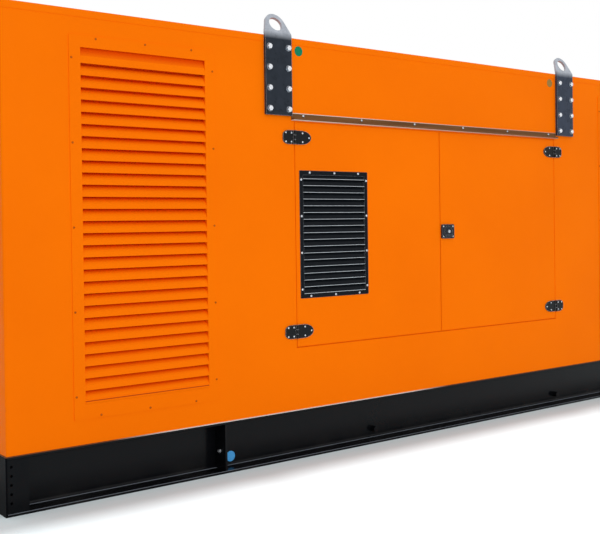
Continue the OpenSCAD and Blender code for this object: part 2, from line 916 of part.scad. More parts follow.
// Exhaust outlet on the roof: a flanged stub under a coned rain cap on three stays
module exhaust_outlet() {
  cap_z = outlet_h - cap_rise;
  color(steel_grey) translate([outlet_x, manifold_y, canopy_top]) {
    difference() {
      union() {
        cylinder(d = exhaust_d + 2 * pipe_rim, h = pipe_flange_t);
        cylinder(d = exhaust_d, h = cap_z - cap_rise);
      }
      translate([0, 0, pipe_flange_t]) cylinder(d = exhaust_d - 2 * pipe_wall, h = outlet_h);
    }
    for (a = [0, 120, 240]) rotate([0, 0, a]) {
      translate([exhaust_d / 2 - pipe_wall, -pipe_flange_t / 2, pipe_flange_t]) {
        cube([2 * pipe_wall, pipe_flange_t, cap_z - pipe_flange_t + eps]);
      }
    }
    translate([0, 0, cap_z]) cylinder(d1 = exhaust_d + 2 * cap_over, d2 = cap_rise, h = cap_rise);
  }
}

// Exhaust pipe from the manifold up to the underside of the roof, with flanges and a bellows
module exhaust_pipe() {
  pipe_h = wall_top - manifold_top;
  color(steel_grey) translate([outlet_x, manifold_y, manifold_top]) {
    cylinder(d = exhaust_d, h = pipe_h);
    for (z = [0, pipe_h - pipe_flange_t]) translate([0, 0, z]) {
      cylinder(d = exhaust_d + 2 * pipe_rim, h = pipe_flange_t);
    }
    for (i = [1:bellows_folds]) translate([0, 0, pipe_flange_t + i * bellows_pitch]) {
      cylinder(d = exhaust_d + 4 * pipe_wall, h = bellows_pitch / 2);
    }
  }
}

// Engine block with a stepped side, gussets over its skirt, a front cover and a tapered sump
module engine_block() {
  shoulder_z = crank_h + shoulder_rise;
  upper = block_w / 2 - block_step;
  gusset_pitch = (engine_len - 3 * gusset_t) / cylinders;
  along_x(engine_x0, engine_x1) polygon(both_halves([
    [block_w / 2, skirt_z], [block_w / 2, shoulder_z], [upper, shoulder_z + block_step], [upper, block_top]
  ]));
  for (i = [0:cylinders]) translate([engine_x0 + gusset_t + i * gusset_pitch, 0, 0]) {
    along_x(0, gusset_t) polygon(both_halves([
      [block_w / 2 - gusset_t, shoulder_z - eps], [upper - eps, block_top - head_h]
    ]));
  }
  along_x(engine_x1 - eps, engine_x1 + cast_r) polygon(both_halves([
    [upper, skirt_z + cast_r], [upper, crank_h], [upper - cast_r, block_top - cast_r]
  ]));
  along_x(engine_x0 + block_step, engine_x1 - block_step) polygon(both_halves([
    [upper - block_step, skirt_z - sump_h], [upper, skirt_z + eps]
  ]));
}

// A head and a rocker cover with a raised lid for each cylinder
module engine_heads() {
  for (i = [0:cylinders - 1]) translate([engine_x0 + bay * (i + 0.5), 0, block_top - eps]) {
    linear_extrude(head_h + 2 * eps) rounded_outline(bay - head_gap, head_w, head_gap);
    translate([0, 0, head_h]) linear_extrude(cover_h + eps) {
      rounded_outline(bay - cover_gap, head_w - cover_gap, cast_r);
    }
    translate([0, 0, head_h + cover_h]) linear_extrude(lid_t) {
      rounded_outline(bay - 2 * cover_gap, head_w - 2 * cover_gap, cast_r);
    }
  }
}

// Bell housing round the flywheel, waisted between its two bolting flanges
module bell_housing() {
  r = flywheel_d / 2;
  translate([engine_x0 + eps, 0, crank_h]) rotate([0, -90, 0]) rotate_extrude() polygon([
    [0, 0], [r, 0], [r, rim_t], [r - rim_w, rim_t + rim_w], [r - rim_w, flywheel_len - rim_t - rim_w],
    [r, flywheel_len - rim_t], [r, flywheel_len + eps], [0, flywheel_len + eps]
  ]);
}

// Intake manifold at the front and exhaust manifold at the rear, with a runner to each head
module manifolds() {
  inward = manifold_y - head_w / 2 + runner_d / 2;
  upward = block_top + head_h / 2 - manifold_z;
  for (s = [-1, 1]) {
    bar_x(engine_x0 + manifold_end, engine_x1 - manifold_end, s * manifold_y, manifold_z, manifold_d);
    for (i = [0:cylinders - 1]) translate([engine_x0 + bay * (i + 0.5), s * manifold_y, manifold_z]) {
      rotate([s * atan2(inward, upward), 0, 0]) cylinder(d = runner_d, h = norm([inward, upward]));
    }
  }
  translate([outlet_x, manifold_y, manifold_z]) {
    cylinder(d = manifold_d - 2 * pipe_wall, h = manifold_top - manifold_z);
  }
}

// Air filter over the intake manifold, bracketed to the rocker covers, with its lid and its duct
module air_filter() {
  x0 = engine_x0 + bay / 2;
  x1 = x0 + air_filter_len;
  z = cover_top + air_filter_d / 4;
  duct_x = x1 + duct_d;
  bracket_y = -(head_w - cover_gap) / 2;
  bar_x(x0, x1, -manifold_y, z, air_filter_d);
  bar_x(x0 - rim_t, x0 + rim_w, -manifold_y, z, air_filter_d - rim_t);
  bar_x(x1 - eps, duct_x, -manifold_y, z, duct_d);
  translate([duct_x, -manifold_y, z]) sphere(d = duct_d + rim_t / 2);
  translate([duct_x, -manifold_y, manifold_z]) cylinder(d = duct_d, h = z - manifold_z);
  for (i = [0, 1]) {
    translate([engine_x0 + bay * (i + 0.75), -manifold_y + duct_d / 2, cover_top - cover_gap]) {
      cube([bay / 2, manifold_y - duct_d / 2 + bracket_y + gusset_t, cast_r]);
    }
  }
}

// Starter, injection pump and oil filters along the front of the block
module front_service_parts() {
  side_y = block_w / 2 + starter_d / 2 - gusset_t;
  pump_x = engine_x0 + 2 * bay + rim_w;
  pump_h = 2 * runner_d;
  filter_x = engine_x0 + 4 * bay - bay / 2;
  filter_step = oil_filter_d + rim_t;
  filter_top = crank_h + shoulder_rise + block_step;
  solenoid_d = starter_d / 2;
  starter_x = engine_x0 + rim_w;
  solenoid_z = skirt_z + starter_d + solenoid_d / 3;
  bar_x(starter_x, starter_x + starter_len, -side_y, skirt_z + starter_d / 2, starter_d);
  bar_x(starter_x, starter_x + starter_len / 2, -side_y, solenoid_z, solenoid_d);
  translate([pump_x, -side_y - runner_d / 2, crank_h]) {
    cube([bay + rim_w, side_y - block_w / 2 + runner_d, pump_h]);
  }
  for (i = [0:cylinders - 1]) {
    translate([pump_x + bay / cylinders * (i + 0.5) + rim_w / 2, -side_y, crank_h + pump_h - eps]) {
      cylinder(d = rim_w, h = rim_w + eps);
    }
  }
  for (i = [0:2]) translate([filter_x + i * filter_step, -side_y, filter_top - oil_filter_h]) {
    rotate_extrude() polygon([
      [0, 0], [oil_filter_d / 2 - rim_t, 0], [oil_filter_d / 2, rim_t],
      [oil_filter_d / 2, oil_filter_h + eps], [0, oil_filter_h + eps]
    ]);
  }
  translate([filter_x - filter_step / 2, -side_y - oil_filter_d / 2, filter_top]) {
    cube([3 * filter_step, side_y + oil_filter_d / 2 - block_w / 2 + block_step + gusset_t, shoulder_rise]);
  }
}

// Crankshaft pulley, and the fan with its pulley on a shaft of its own
module engine_fan() {
  fan_x = radiator_x - cowl_depth / 2;
  fan_r = cowl_d / 2 - fan_tip_gap;
  front_x = engine_x1 + cast_r - eps;
  hub_d = 2 * runner_d;
  blade_w = 150;
  blade_t = 6;
  blade_twist = 32;
  bar_x(front_x, front_x + 2 * rim_w, 0, crank_h, flywheel_d / 3);
  for (i = [0, 1]) translate([front_x + rim_w * i, 0, 0]) {
    bar_x(rim_t / 2, rim_t, 0, crank_h, flywheel_d / 3 + rim_w);
  }
  bar_x(front_x, fan_x, 0, fan_z, runner_d);
  bar_x(front_x, front_x + rim_w, 0, fan_z, hub_d + rim_w);
  bar_x(fan_x - rim_w, fan_x + rim_w, 0, fan_z, hub_d);
  for (i = [0:fan_blades - 1]) translate([fan_x, 0, fan_z]) rotate([360 * i / fan_blades, 0, 0]) {
    rotate([0, 0, blade_twist]) translate([-blade_t / 2, -blade_w / 2, hub_d / 4]) {
      cube([blade_t, blade_w, fan_r - hub_d / 4]);
    }
  }
}

// Bracketed feet on rubber mounts, two on each side of the block
module engine_feet() {
  foot_z = deck_z + mount_h;
  side = block_w / 2;
  for (x = [engine_x0 + starter_len + 2 * rim_w, engine_x1 - bay], s = [-1, 1]) {
    along_x(x, x + foot_len) polygon([
      [s * (side - gusset_t), crank_h - shoulder_rise / 2], [s * (side + foot_reach), foot_z + foot_t],
      [s * (side + foot_reach), foot_z], [s * (side - block_step), foot_z],
      [s * (side - block_step), skirt_z + foot_t]
    ]);
    translate([x + foot_len / 2, s * (side + foot_reach / 3), deck_z]) {
      cylinder(d = foot_len - rim_t, h = mount_h + eps);
    }
  }
}

module engine() {
  color(engine_grey) {
    engine_block();
    engine_heads();
    bell_housing();
    manifolds();
    air_filter();
    front_service_parts();
    engine_fan();
    engine_feet();
  }
}

// Alternator behind the flywheel: a ribbed barrel with a tapered end, a terminal box and two feet
module alternator() {
  r = alternator_d / 2;
  neck = 2 * block_step;
  tail = alternator_len - neck;
  box_z = crank_h + sqrt(r * r - terminal_w * terminal_w / 4) - rim_t;
  box_x = alternator_x - neck - terminal_len / 2 - rim_w;
  box_top = crank_h + r + terminal_rise;
  rib_len = tail - neck - 2 * rim_w;
  color(engine_grey) {
    translate([alternator_x, 0, crank_h]) rotate([0, -90, 0]) rotate_extrude() polygon([
      [0, 0], [flywheel_d / 2, 0], [flywheel_d / 2, rim_t], [r - block_step, rim_t + rim_w],
      [r - block_step, neck - rim_w], [r, neck], [r, tail], [r - rim_w, tail + rim_t],
      [r - rim_w, alternator_len - block_step], [r - neck, alternator_len], [0, alternator_len]
    ]);
    for (a = [60:15:120], s = [-1, 1]) translate([alternator_x - neck - rim_w, 0, crank_h]) {
      rotate([s * a, 0, 0]) translate([-rib_len, -plate_t, r - rim_t]) {
        cube([rib_len, 2 * plate_t, 2 * rim_t]);
      }
    }
    translate([box_x, 0, box_z]) linear_extrude(box_top - box_z) {
      rounded_outline(terminal_len, terminal_w, rim_t);
    }
    translate([box_x, 0, box_top - eps]) linear_extrude(lid_t) {
      rounded_outline(terminal_len + rim_t, terminal_w + rim_t, rim_w);
    }
    for (s = [-1, 1]) along_x(alternator_x - tail, alternator_x - neck - rim_w) polygon([
      [s * (r - rim_w), deck_z], [s * (r - rim_w), deck_z + foot_t], [s * (r - foot_len), crank_h - neck],
      [s * (r - neck - block_step), crank_h - neck], [s * (r - neck - block_step), deck_z]
    ]);
  }
}

// Radiator with side channels, rounded tanks, a filler neck and a cowl round the fan
module radiator() {
  core_set = 2 * rim_t;
  core_h = radiator_h - 2 * radiator_tank_h;
  core_w = radiator_w - 2 * radiator_channel_w;
  mid_x = radiator_x + radiator_t / 2;
  color(black) {
    for (s = [-1, 1]) {
      translate([radiator_x, s * (radiator_w - radiator_channel_w) / 2 - radiator_channel_w / 2, deck_z]) {
        cube([radiator_t, radiator_channel_w, radiator_h]);
      }
    }
    for (z = [radiator_tank_h / 2, radiator_h - radiator_tank_h / 2]) {
      translate([mid_x, core_w / 2 + eps, deck_z + z]) rotate([90, 0, 0]) linear_extrude(core_w + 2 * eps) {
        rounded_outline(radiator_t + rim_w, radiator_tank_h, rim_w);
      }
    }
    translate([radiator_x + core_set, -core_w / 2 - eps, deck_z + radiator_tank_h - eps]) {
      cube([radiator_t - 2 * core_set, core_w + 2 * eps, core_h + 2 * eps]);
    }
    translate([mid_x, core_w / 4, deck_z + radiator_h - eps]) cylinder(d = runner_d, h = cast_r);
    translate([mid_x, core_w / 4, deck_z + radiator_h + cast_r - 2 * eps]) {
      cylinder(d = runner_d + rim_t, h = rim_t);
    }
    along_x(radiator_x - plate_t, radiator_x + eps) translate([0, fan_z]) difference() {
      square([radiator_w - rim_t, core_h - rim_t], center = true);
      circle(d = cowl_d);
    }
    translate([radiator_x - cowl_depth, 0, fan_z]) rotate([0, 90, 0]) difference() {
      union() {
        cylinder(d = cowl_d + 2 * plate_t, h = cowl_depth - eps);
        cylinder(d = cowl_d + 2 * rim_t, h = plate_t);
      }
      translate([0, 0, -eps]) cylinder(d = cowl_d, h = cowl_depth + 2 * eps);
    }
  }
}

base_front_rail();
base_rear_rail();
base_end_beams();
base_tank();
base_end_plates();
front_left_wall();
front_right_wall();
front_header();
front_sill();
rear_left_wall();
rear_right_wall();
rear_header();
rear_sill();
left_end_wall();
right_end_wall();
roof();
front_left_door();
front_right_door();
front_left_door_lining();
front_right_door_lining();
rear_doors();
front_left_louvre();
front_right_louvre();
rear_left_louvre();
rear_right_louvre();
discharge_louvre();
front_door_vent();
rear_door_vent();
front_drip_rail();
rear_drip_rail();
front_hinge_frame_leaves();
front_left_door_leaves();
front_right_door_leaves();
rear_hinges();
front_lock();
rear_lock();
lifting_lug_front_left();
lifting_lug_front_right();
lifting_lug_rear_left();
lifting_lug_rear_right();
exhaust_outlet();
exhaust_pipe();
engine();
alternator();
radiator();
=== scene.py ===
"""Looks of a canopied standby generator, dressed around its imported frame."""

import math

import bpy
from mathutils import Matrix, Vector


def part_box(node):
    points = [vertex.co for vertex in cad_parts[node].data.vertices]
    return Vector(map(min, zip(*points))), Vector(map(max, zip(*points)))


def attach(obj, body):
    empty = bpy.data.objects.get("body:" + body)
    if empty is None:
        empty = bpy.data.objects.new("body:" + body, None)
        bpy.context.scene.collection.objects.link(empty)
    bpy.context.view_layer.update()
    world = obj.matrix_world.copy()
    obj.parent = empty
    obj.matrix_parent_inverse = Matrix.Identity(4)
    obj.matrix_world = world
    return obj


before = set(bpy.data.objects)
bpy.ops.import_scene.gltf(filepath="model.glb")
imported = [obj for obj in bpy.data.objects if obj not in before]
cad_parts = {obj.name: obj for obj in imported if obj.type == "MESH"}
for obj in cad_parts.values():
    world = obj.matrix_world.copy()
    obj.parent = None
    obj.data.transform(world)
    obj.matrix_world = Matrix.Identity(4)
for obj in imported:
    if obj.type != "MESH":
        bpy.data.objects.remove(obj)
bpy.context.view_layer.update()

# Camera, from the photograph
IMAGE_WIDTH = 600
SENSOR = 36.0
FOCAL_PX = 951.8
PRINCIPAL_RISE_PX = 32.8
CAMERA_AT = Vector((-4.2154, -4.9876, 1.2601))
CAMERA_YAW = math.radians(52.32)
CAMERA_PITCH = math.radians(-0.585)
CAMERA_ROLL = math.radians(-0.777)

# Directions
FRONT = Vector((0, -1, 0))
REAR = Vector((0, 1, 0))
LEFT = Vector((-1, 0, 0))
RIGHT = Vector((1, 0, 0))
UP = Vector((0, 0, 1))
SIDES = (("front", FRONT), ("rear", REAR))

# Sizes of the sheet metal that the small parts sit on, in metres
WALL_T = 0.050
LOUVRE_SHEET = 0.003
LOUVRE_TOP = 0.056
LOUVRE_SIDE = 0.056
VENT_SHEET = 0.0025
DRIP_SHEET = 0.003
HINGE_LEAF_T = 0.006
HINGE_H = 0.074
LOCK_T = 0.011
BARREL_RISE = 0.008
LINING_BACK = 0.041
RAIL_DEPTH = 0.100
FLANGE_T = 0.012
BASE_LIP = 0.008
FIN_HALF_T = 0.006

DRIP_BEAD = 0.003
FILM_T = 0.001
HAIR = 0.0005

SHARP_ANGLE = math.radians(35)
TURN_STEPS = 24

# Range of a noise's values that a mottle spreads out
MOTTLE_LOW = 0.3
MOTTLE_HIGH = 0.7


def linear(channel):
    """A screen channel, 0 to 255, as linear light."""
    c = channel / 255
    return c / 12.92 if c <= 0.04045 else ((c + 0.055) / 1.055) ** 2.4


def colour(red, green, blue):
    return (linear(red), linear(green), linear(blue), 1.0)


class Finish:
    """A Principled material and the nodes that give it its procedural detail."""

    def __init__(self, name, base, roughness, metallic=0.0, specular=0.5):
        self.material = bpy.data.materials.new(name)
        self.material.use_nodes = True
        self.tree = self.material.node_tree
        self.shader = self.tree.nodes["Principled BSDF"]
        self.set("Base Color", base)
        self.set("Roughness", roughness)
        self.set("Metallic", metallic)
        self.set("Specular IOR Level", specular)
        self.place = self.tree.nodes.new("ShaderNodeTexCoord").outputs["Object"]

    def set(self, socket, value):
        self.shader.inputs[socket].default_value = value

    def link(self, value, socket):
        self.tree.links.new(value, socket)

    def drive(self, socket, value):
        self.link(value, self.shader.inputs[socket])

    def fill(self, socket, value):
        if isinstance(value, bpy.types.NodeSocket):
            self.link(value, socket)
        else:
            socket.default_value = value

    def noise(self, scale, detail=3.0, stretch=(1, 1, 1)):
        mapping = self.tree.nodes.new("ShaderNodeMapping")
        mapping.inputs["Scale"].default_value = stretch
        self.link(self.place, mapping.inputs["Vector"])
        texture = self.tree.nodes.new("ShaderNodeTexNoise")
        texture.inputs["Scale"].default_value = scale
        texture.inputs["Detail"].default_value = detail
        self.link(mapping.outputs["Vector"], texture.inputs["Vector"])
        return texture.outputs["Fac"]

    def stripes(self, scale, direction):
        wave = self.tree.nodes.new("ShaderNodeTexWave")
        wave.bands_direction = direction
        wave.inputs["Scale"].default_value = scale
        self.link(self.place, wave.inputs["Vector"])
        return wave.outputs["Fac"]

    def cells(self, scale):
        texture = self.tree.nodes.new("ShaderNodeTexVoronoi")
        texture.inputs["Scale"].default_value = scale
        self.link(self.place, texture.inputs["Vector"])
        return texture.outputs["Distance"]

    def along(self, axis):
        split = self.tree.nodes.new("ShaderNodeSeparateXYZ")
        self.link(self.place, split.inputs["Vector"])
        return split.outputs[axis]

    def math(self, operation, first, second=0.0):
        node = self.tree.nodes.new("ShaderNodeMath")
        node.operation = operation
        self.fill(node.inputs[0], first)
        self.fill(node.inputs[1], second)
        return node.outputs[0]

    def times(self, first, second):
        return self.math("MULTIPLY", first, second)

    def over(self, value, limit):
        """1 where a value is over its limit, 0 elsewhere."""
        return self.math("GREATER_THAN", value, limit)

    def under(self, value, limit):
        """1 where a value is under its limit, 0 elsewhere."""
        return self.math("LESS_THAN", value, limit)

    def between(self, value, low, high):
        """1 where a value lies between two limits, 0 elsewhere."""
        return self.times(self.over(value, low), self.under(value, high))

    def off_middle(self, axis):
        """Distance from the middle along an axis."""
        return self.math("ABSOLUTE", self.along(axis))

    def spread(self, value, start, end, low=0.0, high=1.0):
        node = self.tree.nodes.new("ShaderNodeMapRange")
        for socket, number in zip(("From Min", "From Max", "To Min", "To Max"), (start, end, low, high)):
            node.inputs[socket].default_value = number
        self.link(value, node.inputs["Value"])
        return node.outputs["Result"]

    def mottle(self, scale, detail, low=0.0, high=1.0, stretch=(1, 1, 1)):
        """Noise whose middle range is spread out from low to high."""
        return self.spread(self.noise(scale, detail, stretch), MOTTLE_LOW, MOTTLE_HIGH, low, high)

    def mix(self, share, first, second):
        node = self.tree.nodes.new("ShaderNodeMix")
        node.data_type = "RGBA"
        self.fill(node.inputs[0], share)
        self.fill(node.inputs[6], first)
        self.fill(node.inputs[7], second)
        return node.outputs[2]

    def inside(self, half_x, half_y, top):
        """1 within a box round the middle, 0 outside it."""
        in_x = self.under(self.off_middle("X"), half_x)
        in_y = self.under(self.off_middle("Y"), half_y)
        in_z = self.under(self.along("Z"), top)
        return self.times(self.times(in_x, in_y), in_z)

    def within(self, low, high):
        """1 within a box given by two corners, 0 outside it."""
        share = 1.0
        for axis, start, end in zip("XYZ", low, high):
            share = self.times(share, self.between(self.along(axis), start, end))
        return share

    def edges(self, radius):
        """1 along the sharp edges, 0 on the flats."""
        bevel = self.tree.nodes.new("ShaderNodeBevel")
        bevel.samples = 4
        bevel.inputs["Radius"].default_value = radius
        geometry = self.tree.nodes.new("ShaderNodeNewGeometry")
        product = self.tree.nodes.new("ShaderNodeVectorMath")
        product.operation = "DOT_PRODUCT"
        self.link(bevel.outputs["Normal"], product.inputs[0])
        self.link(geometry.outputs["Normal"], product.inputs[1])
        return self.spread(product.outputs["Value"], 0.99, 0.85)

    def bump(self, height, distance, strength=1.0):
        node = self.tree.nodes.new("ShaderNodeBump")
        node.inputs["Strength"].default_value = strength
        node.inputs["Distance"].default_value = distance
        self.link(height, node.inputs["Height"])
        self.drive("Normal", node.outputs["Normal"])


# Finishes
LINING_DARK = colour(42, 42, 44)
LINING_LIGHT = colour(72, 72, 75)


def orange_paint(name, lined_box=None, shaded_recess=None):
    """Powder coat with a fine orange peel; the faces within lined_box show the acoustic lining.

    The last argument is the axis that a louvre's depth runs along, the distance of its face from the middle,
    the distances along X between which it lies, and the top of its opening: there the paint gets a painted
    shade, redder with the depth and towards the top.
    """
    finish = Finish(name, colour(250, 116, 0), 0.5, specular=0.02)
    cloud = finish.mottle(1.3, 4)
    paint = finish.mix(cloud, colour(248, 114, 0), colour(253, 119, 0))
    if shaded_recess:
        axis, face, start_x, end_x, top_z = shaded_recess
        shallow, deepest = 0.003, 0.022
        shade_start, shade_end = 0.05, 0.015
        reach = finish.off_middle(axis)
        # Painted shade: the paint turns redder with the depth of the recess.
        recess_shade = finish.spread(reach, face - shallow, face - deepest)
        beside = finish.between(finish.off_middle("X"), start_x, end_x)
        paint = finish.mix(finish.times(recess_shade, beside), paint, colour(255, 80, 0))
        # Painted shade: redder again just under the top of the opening.
        high = finish.spread(finish.along("Z"), top_z - shade_start, top_z - shade_end)
        behind = finish.times(finish.under(reach, face - HAIR), beside)
        paint = finish.mix(finish.times(high, behind), paint, colour(228, 80, 0))
    roughness = finish.mottle(14, 4, 0.42, 0.54)
    if lined_box:
        mask = finish.inside(*lined_box)
        foam = finish.mix(finish.noise(260, 4), LINING_DARK, LINING_LIGHT)
        paint = finish.mix(mask, paint, foam)
        roughness = finish.math("MAXIMUM", roughness, finish.times(mask, 0.9))
    finish.drive("Base Color", paint)
    finish.drive("Roughness", roughness)
    finish.bump(finish.noise(420, 2), 0.0004, 0.25)
    return finish.material


def black_paint(name, specular, painted_highlights=()):
    """Glossy black enamel, dusty near the ground; the given boxes get a lighter painted highlight, on both
    long sides.
    """
    finish = Finish(name, colour(14, 15, 17), 0.16, specular=specular)
    cloud = finish.noise(6, 5)
    dust_top = 0.10
    low = finish.spread(finish.along("Z"), dust_top, 0.0)
    dust = finish.times(low, finish.spread(cloud, 0.45, 0.75, 0.0, 0.22))
    enamel = finish.mix(dust, colour(11, 12, 15), colour(60, 57, 53))
    # Painted highlight: each box is lightened to a pale grey.
    for (low_y, low_z), (high_y, high_z) in painted_highlights:
        in_y = finish.between(finish.off_middle("Y"), low_y, high_y)
        in_z = finish.between(finish.along("Z"), low_z, high_z)
        enamel = finish.mix(finish.times(in_y, in_z), enamel, colour(104, 109, 117))
    finish.drive("Base Color", enamel)
    finish.drive("Roughness", finish.spread(cloud, 0.3, 0.7, 0.12, 0.26))
    finish.bump(finish.noise(55, 2), 0.0006, 0.2)
    return finish.material


def lug_plate(name, bend_z, dark, light):
    """Dark steel plate; its head, above the bend, gets a painted reflection of the bright sky, and its edges
    a painted glint.
    """
    finish = Finish(name, light, 0.3, metallic=0.15, specular=0.12)
    grain = finish.mottle(24, 4)
    plate = finish.mix(grain, dark, light)
    # Painted reflection: the head is much lighter than the plate.
    head = finish.mix(grain, colour(160, 165, 174), colour(184, 189, 198))
    fade = 0.02
    rise = finish.spread(finish.along("Z"), bend_z - fade, bend_z + fade)
    # The head's painted reflection and a painted glint along the edges.
    painted_glint = finish.math("MAXIMUM", rise, finish.times(finish.edges(0.0035), 0.7))
    finish.drive("Base Color", finish.mix(painted_glint, plate, head))
    finish.drive("Roughness", finish.spread(grain, 0.0, 1.0, 0.24, 0.36))
    finish.bump(finish.noise(160, 3), 0.0002, 0.3)
    return finish.material


def drip_rail_metal(foot_z, bead_h, height):
    """Bronze-brown rail whose rolled edge and thin top edge get a painted highlight, a painted reflection
    that runs from white at the left to pink at the right.
    """
    finish = Finish("drip_rail_metal", colour(110, 72, 38), 0.36, specular=0.08)
    grain = finish.mottle(40, 4, stretch=(0.05, 1, 1))
    band = finish.mix(grain, colour(96, 62, 32), colour(124, 83, 46))
    half_len, top_edge = 1.1, 0.003
    # Painted reflection: white at the left end, pinker towards the right.
    right = finish.spread(finish.along("X"), -half_len, half_len)
    bright = finish.mix(right, colour(226, 216, 206), colour(198, 150, 128))
    z = finish.along("Z")
    bead = finish.under(z, foot_z + bead_h)
    top = finish.over(z, foot_z + height - top_edge)
    # Painted highlight on the rolled bead and on the top edge.
    finish.drive("Base Color", finish.mix(finish.math("MAXIMUM", bead, top), band, bright))
    finish.drive("Roughness", finish.spread(grain, 0.0, 1.0, 0.28, 0.42))
    finish.bump(finish.noise(220, 2), 0.0002, 0.2)
    return finish.material


def satin_black(name, base, painted_glint, glint_strength, reach, specular=0.12):
    """Satin black coat with pale flecks and a painted glint along its edges, as far in as reach."""
    finish = Finish(name, base, 0.34, specular=specular)
    speckle = finish.spread(finish.noise(520, 3), 0.35, 0.65)
    fleck, fleck_share = colour(140, 146, 154), 0.04
    coat = finish.mix(finish.times(speckle, fleck_share), base, fleck)
    # Painted highlight: the edges are lightened towards the glint colour.
    lighter_edges = finish.times(finish.edges(reach), glint_strength)
    finish.drive("Base Color", finish.mix(lighter_edges, coat, painted_glint))
    finish.drive("Roughness", finish.mottle(60, 3, 0.26, 0.42))
    finish.bump(speckle, 0.0002, 0.3)
    return finish.material


def bright_metal(name, dark, light, roughness, washer_top=0.0):
    """Plated steel with a mottled bloom; washers, up to the given distance from the middle along Y, are
    darkened as painted shade round the heads.
    """
    finish = Finish(name, light, roughness, metallic=0.85)
    bloom = finish.mottle(140, 4)
    plating = finish.mix(bloom, dark, light)
    if washer_top:
        # Painted shade: the washers are darker than the bright heads.
        washer_shade = finish.under(finish.off_middle("Y"), washer_top)
        plating = finish.mix(washer_shade, plating, colour(122, 127, 135))
    finish.drive("Base Color", plating)
    finish.drive("Roughness", finish.spread(bloom, 0.0, 1.0, roughness - 0.06, roughness + 0.1))
    finish.bump(finish.noise(600, 2), 0.0001, 0.2)
    return finish.material


def foam(name):
    """Acoustic foam: dark, open cells."""
    finish = Finish(name, LINING_LIGHT, 0.95, specular=0.1)
    cells = finish.cells(210)
    finish.drive("Base Color", finish.mix(finish.spread(cells, 0.1, 0.6), LINING_DARK, LINING_LIGHT))
    finish.bump(cells, 0.002, 0.6)
    return finish.material


def cast_paint(name, base, light, grime, parts=()):
    """Paint over castings: a coarse skin with oily stains; parts are boxes with a tone of their own."""
    finish = Finish(name, base, 0.45, specular=0.4)
    stain = finish.spread(finish.noise(9, 6), 0.48, 0.72)
    coat = finish.mix(finish.mottle(3, 4), base, light)
    for low, high, tone in parts:
        coat = finish.mix(finish.within(low, high), coat, tone)
    lighter_edges = finish.times(finish.edges(0.004), 0.35)
    coat = finish.mix(lighter_edges, coat, colour(150, 152, 150))
    finish.drive("Base Color", finish.mix(finish.times(stain, 0.55), coat, grime))
    finish.drive("Roughness", finish.spread(stain, 0.0, 1.0, 0.5, 0.28))
    finish.bump(finish.noise(190, 4), 0.0012, 0.5)
    return finish.material


def radiator_finish():
    """Black frame and a core of fine upright fins."""
    finish = Finish("radiator_finish", colour(26, 27, 29), 0.5, specular=0.3)
    fins = finish.stripes(60, "Y")
    finish.drive("Base Color", finish.mix(fins, colour(16, 17, 18), colour(44, 45, 47)))
    finish.drive("Roughness", finish.mottle(25, 4, 0.4, 0.6))
    finish.bump(fins, 0.0015, 0.5)
    return finish.material


def hot_steel():
    """Exhaust steel with heat bloom and a little rust."""
    finish = Finish("exhaust_metal", colour(120, 112, 104), 0.4, metallic=0.8)
    bloom = finish.spread(finish.noise(11, 6), 0.35, 0.7)
    rust = finish.spread(finish.noise(38, 6), 0.58, 0.72)
    metal = finish.mix(bloom, colour(138, 132, 126), colour(104, 88, 74))
    finish.drive("Base Color", finish.mix(rust, metal, colour(112, 60, 32)))
    finish.drive("Roughness", finish.spread(rust, 0.0, 1.0, 0.34, 0.8))
    finish.bump(finish.noise(90, 4), 0.0008, 0.4)
    return finish.material


def plain_coat(name, base, light, roughness):
    """Printed film, rubber, sealant, screw paint or a strip of painted shade, with a soft mottle."""
    finish = Finish(name, base, roughness, specular=0.1)
    mottle = finish.mottle(120, 4)
    finish.drive("Base Color", finish.mix(mottle, base, light))
    finish.drive("Roughness", finish.spread(mottle, 0.0, 1.0, roughness - 0.08, roughness + 0.08))
    finish.bump(finish.noise(300, 2), 0.0002, 0.3)
    return finish.material


def bead_highlight(highlight_from, highlight_to):
    """Sealing bead whose pale tone over part of its length along X is a painted highlight; outside that
    length it fades to brown.
    """
    finish = Finish("foot_sealant", colour(216, 210, 204), 0.5, specular=0.1)
    mottle = finish.mottle(120, 4)
    highlight_tone = finish.mix(mottle, colour(206, 200, 194), colour(226, 222, 218))
    fade = 0.3
    start = finish.spread(finish.along("X"), highlight_from - fade, highlight_from)
    end = finish.spread(finish.along("X"), highlight_to + fade, highlight_to)
    share = finish.times(start, end)
    # Painted highlight: pale over the middle length, brown beyond.
    finish.drive("Base Color", finish.mix(share, colour(112, 66, 36), highlight_tone))
    finish.drive("Roughness", finish.spread(mottle, 0.0, 1.0, 0.42, 0.58))
    finish.bump(finish.noise(300, 2), 0.0002, 0.3)
    return finish.material


# Forms
def ring_reach(angle, kind):
    """How far a ring reaches at an angle: 1 all round, or a hexagon whose flats lie at 1."""
    if kind == "round":
        return 1.0
    sixth = math.pi / 3
    return 1.0 / math.cos(angle % sixth - sixth / 2)


def turned(profile, steps=TURN_STEPS):
    """Points and faces of a turned form from rings of (radius, height, kind), foot first."""
    points = []
    faces = []
    for radius, height, kind in profile:
        for i in range(steps):
            angle = 2 * math.pi * i / steps
            reach = radius * ring_reach(angle, kind)
            points.append(Vector((reach * math.cos(angle), reach * math.sin(angle), height)))
    for ring in range(len(profile) - 1):
        low = ring * steps
        high = low + steps
        for i in range(steps):
            j = (i + 1) % steps
            faces.append((low + i, low + j, high + j, high + i))
    last = (len(profile) - 1) * steps
    faces.append(tuple(reversed(range(steps))))
    faces.append(tuple(range(last, last + steps)))
    return points, faces


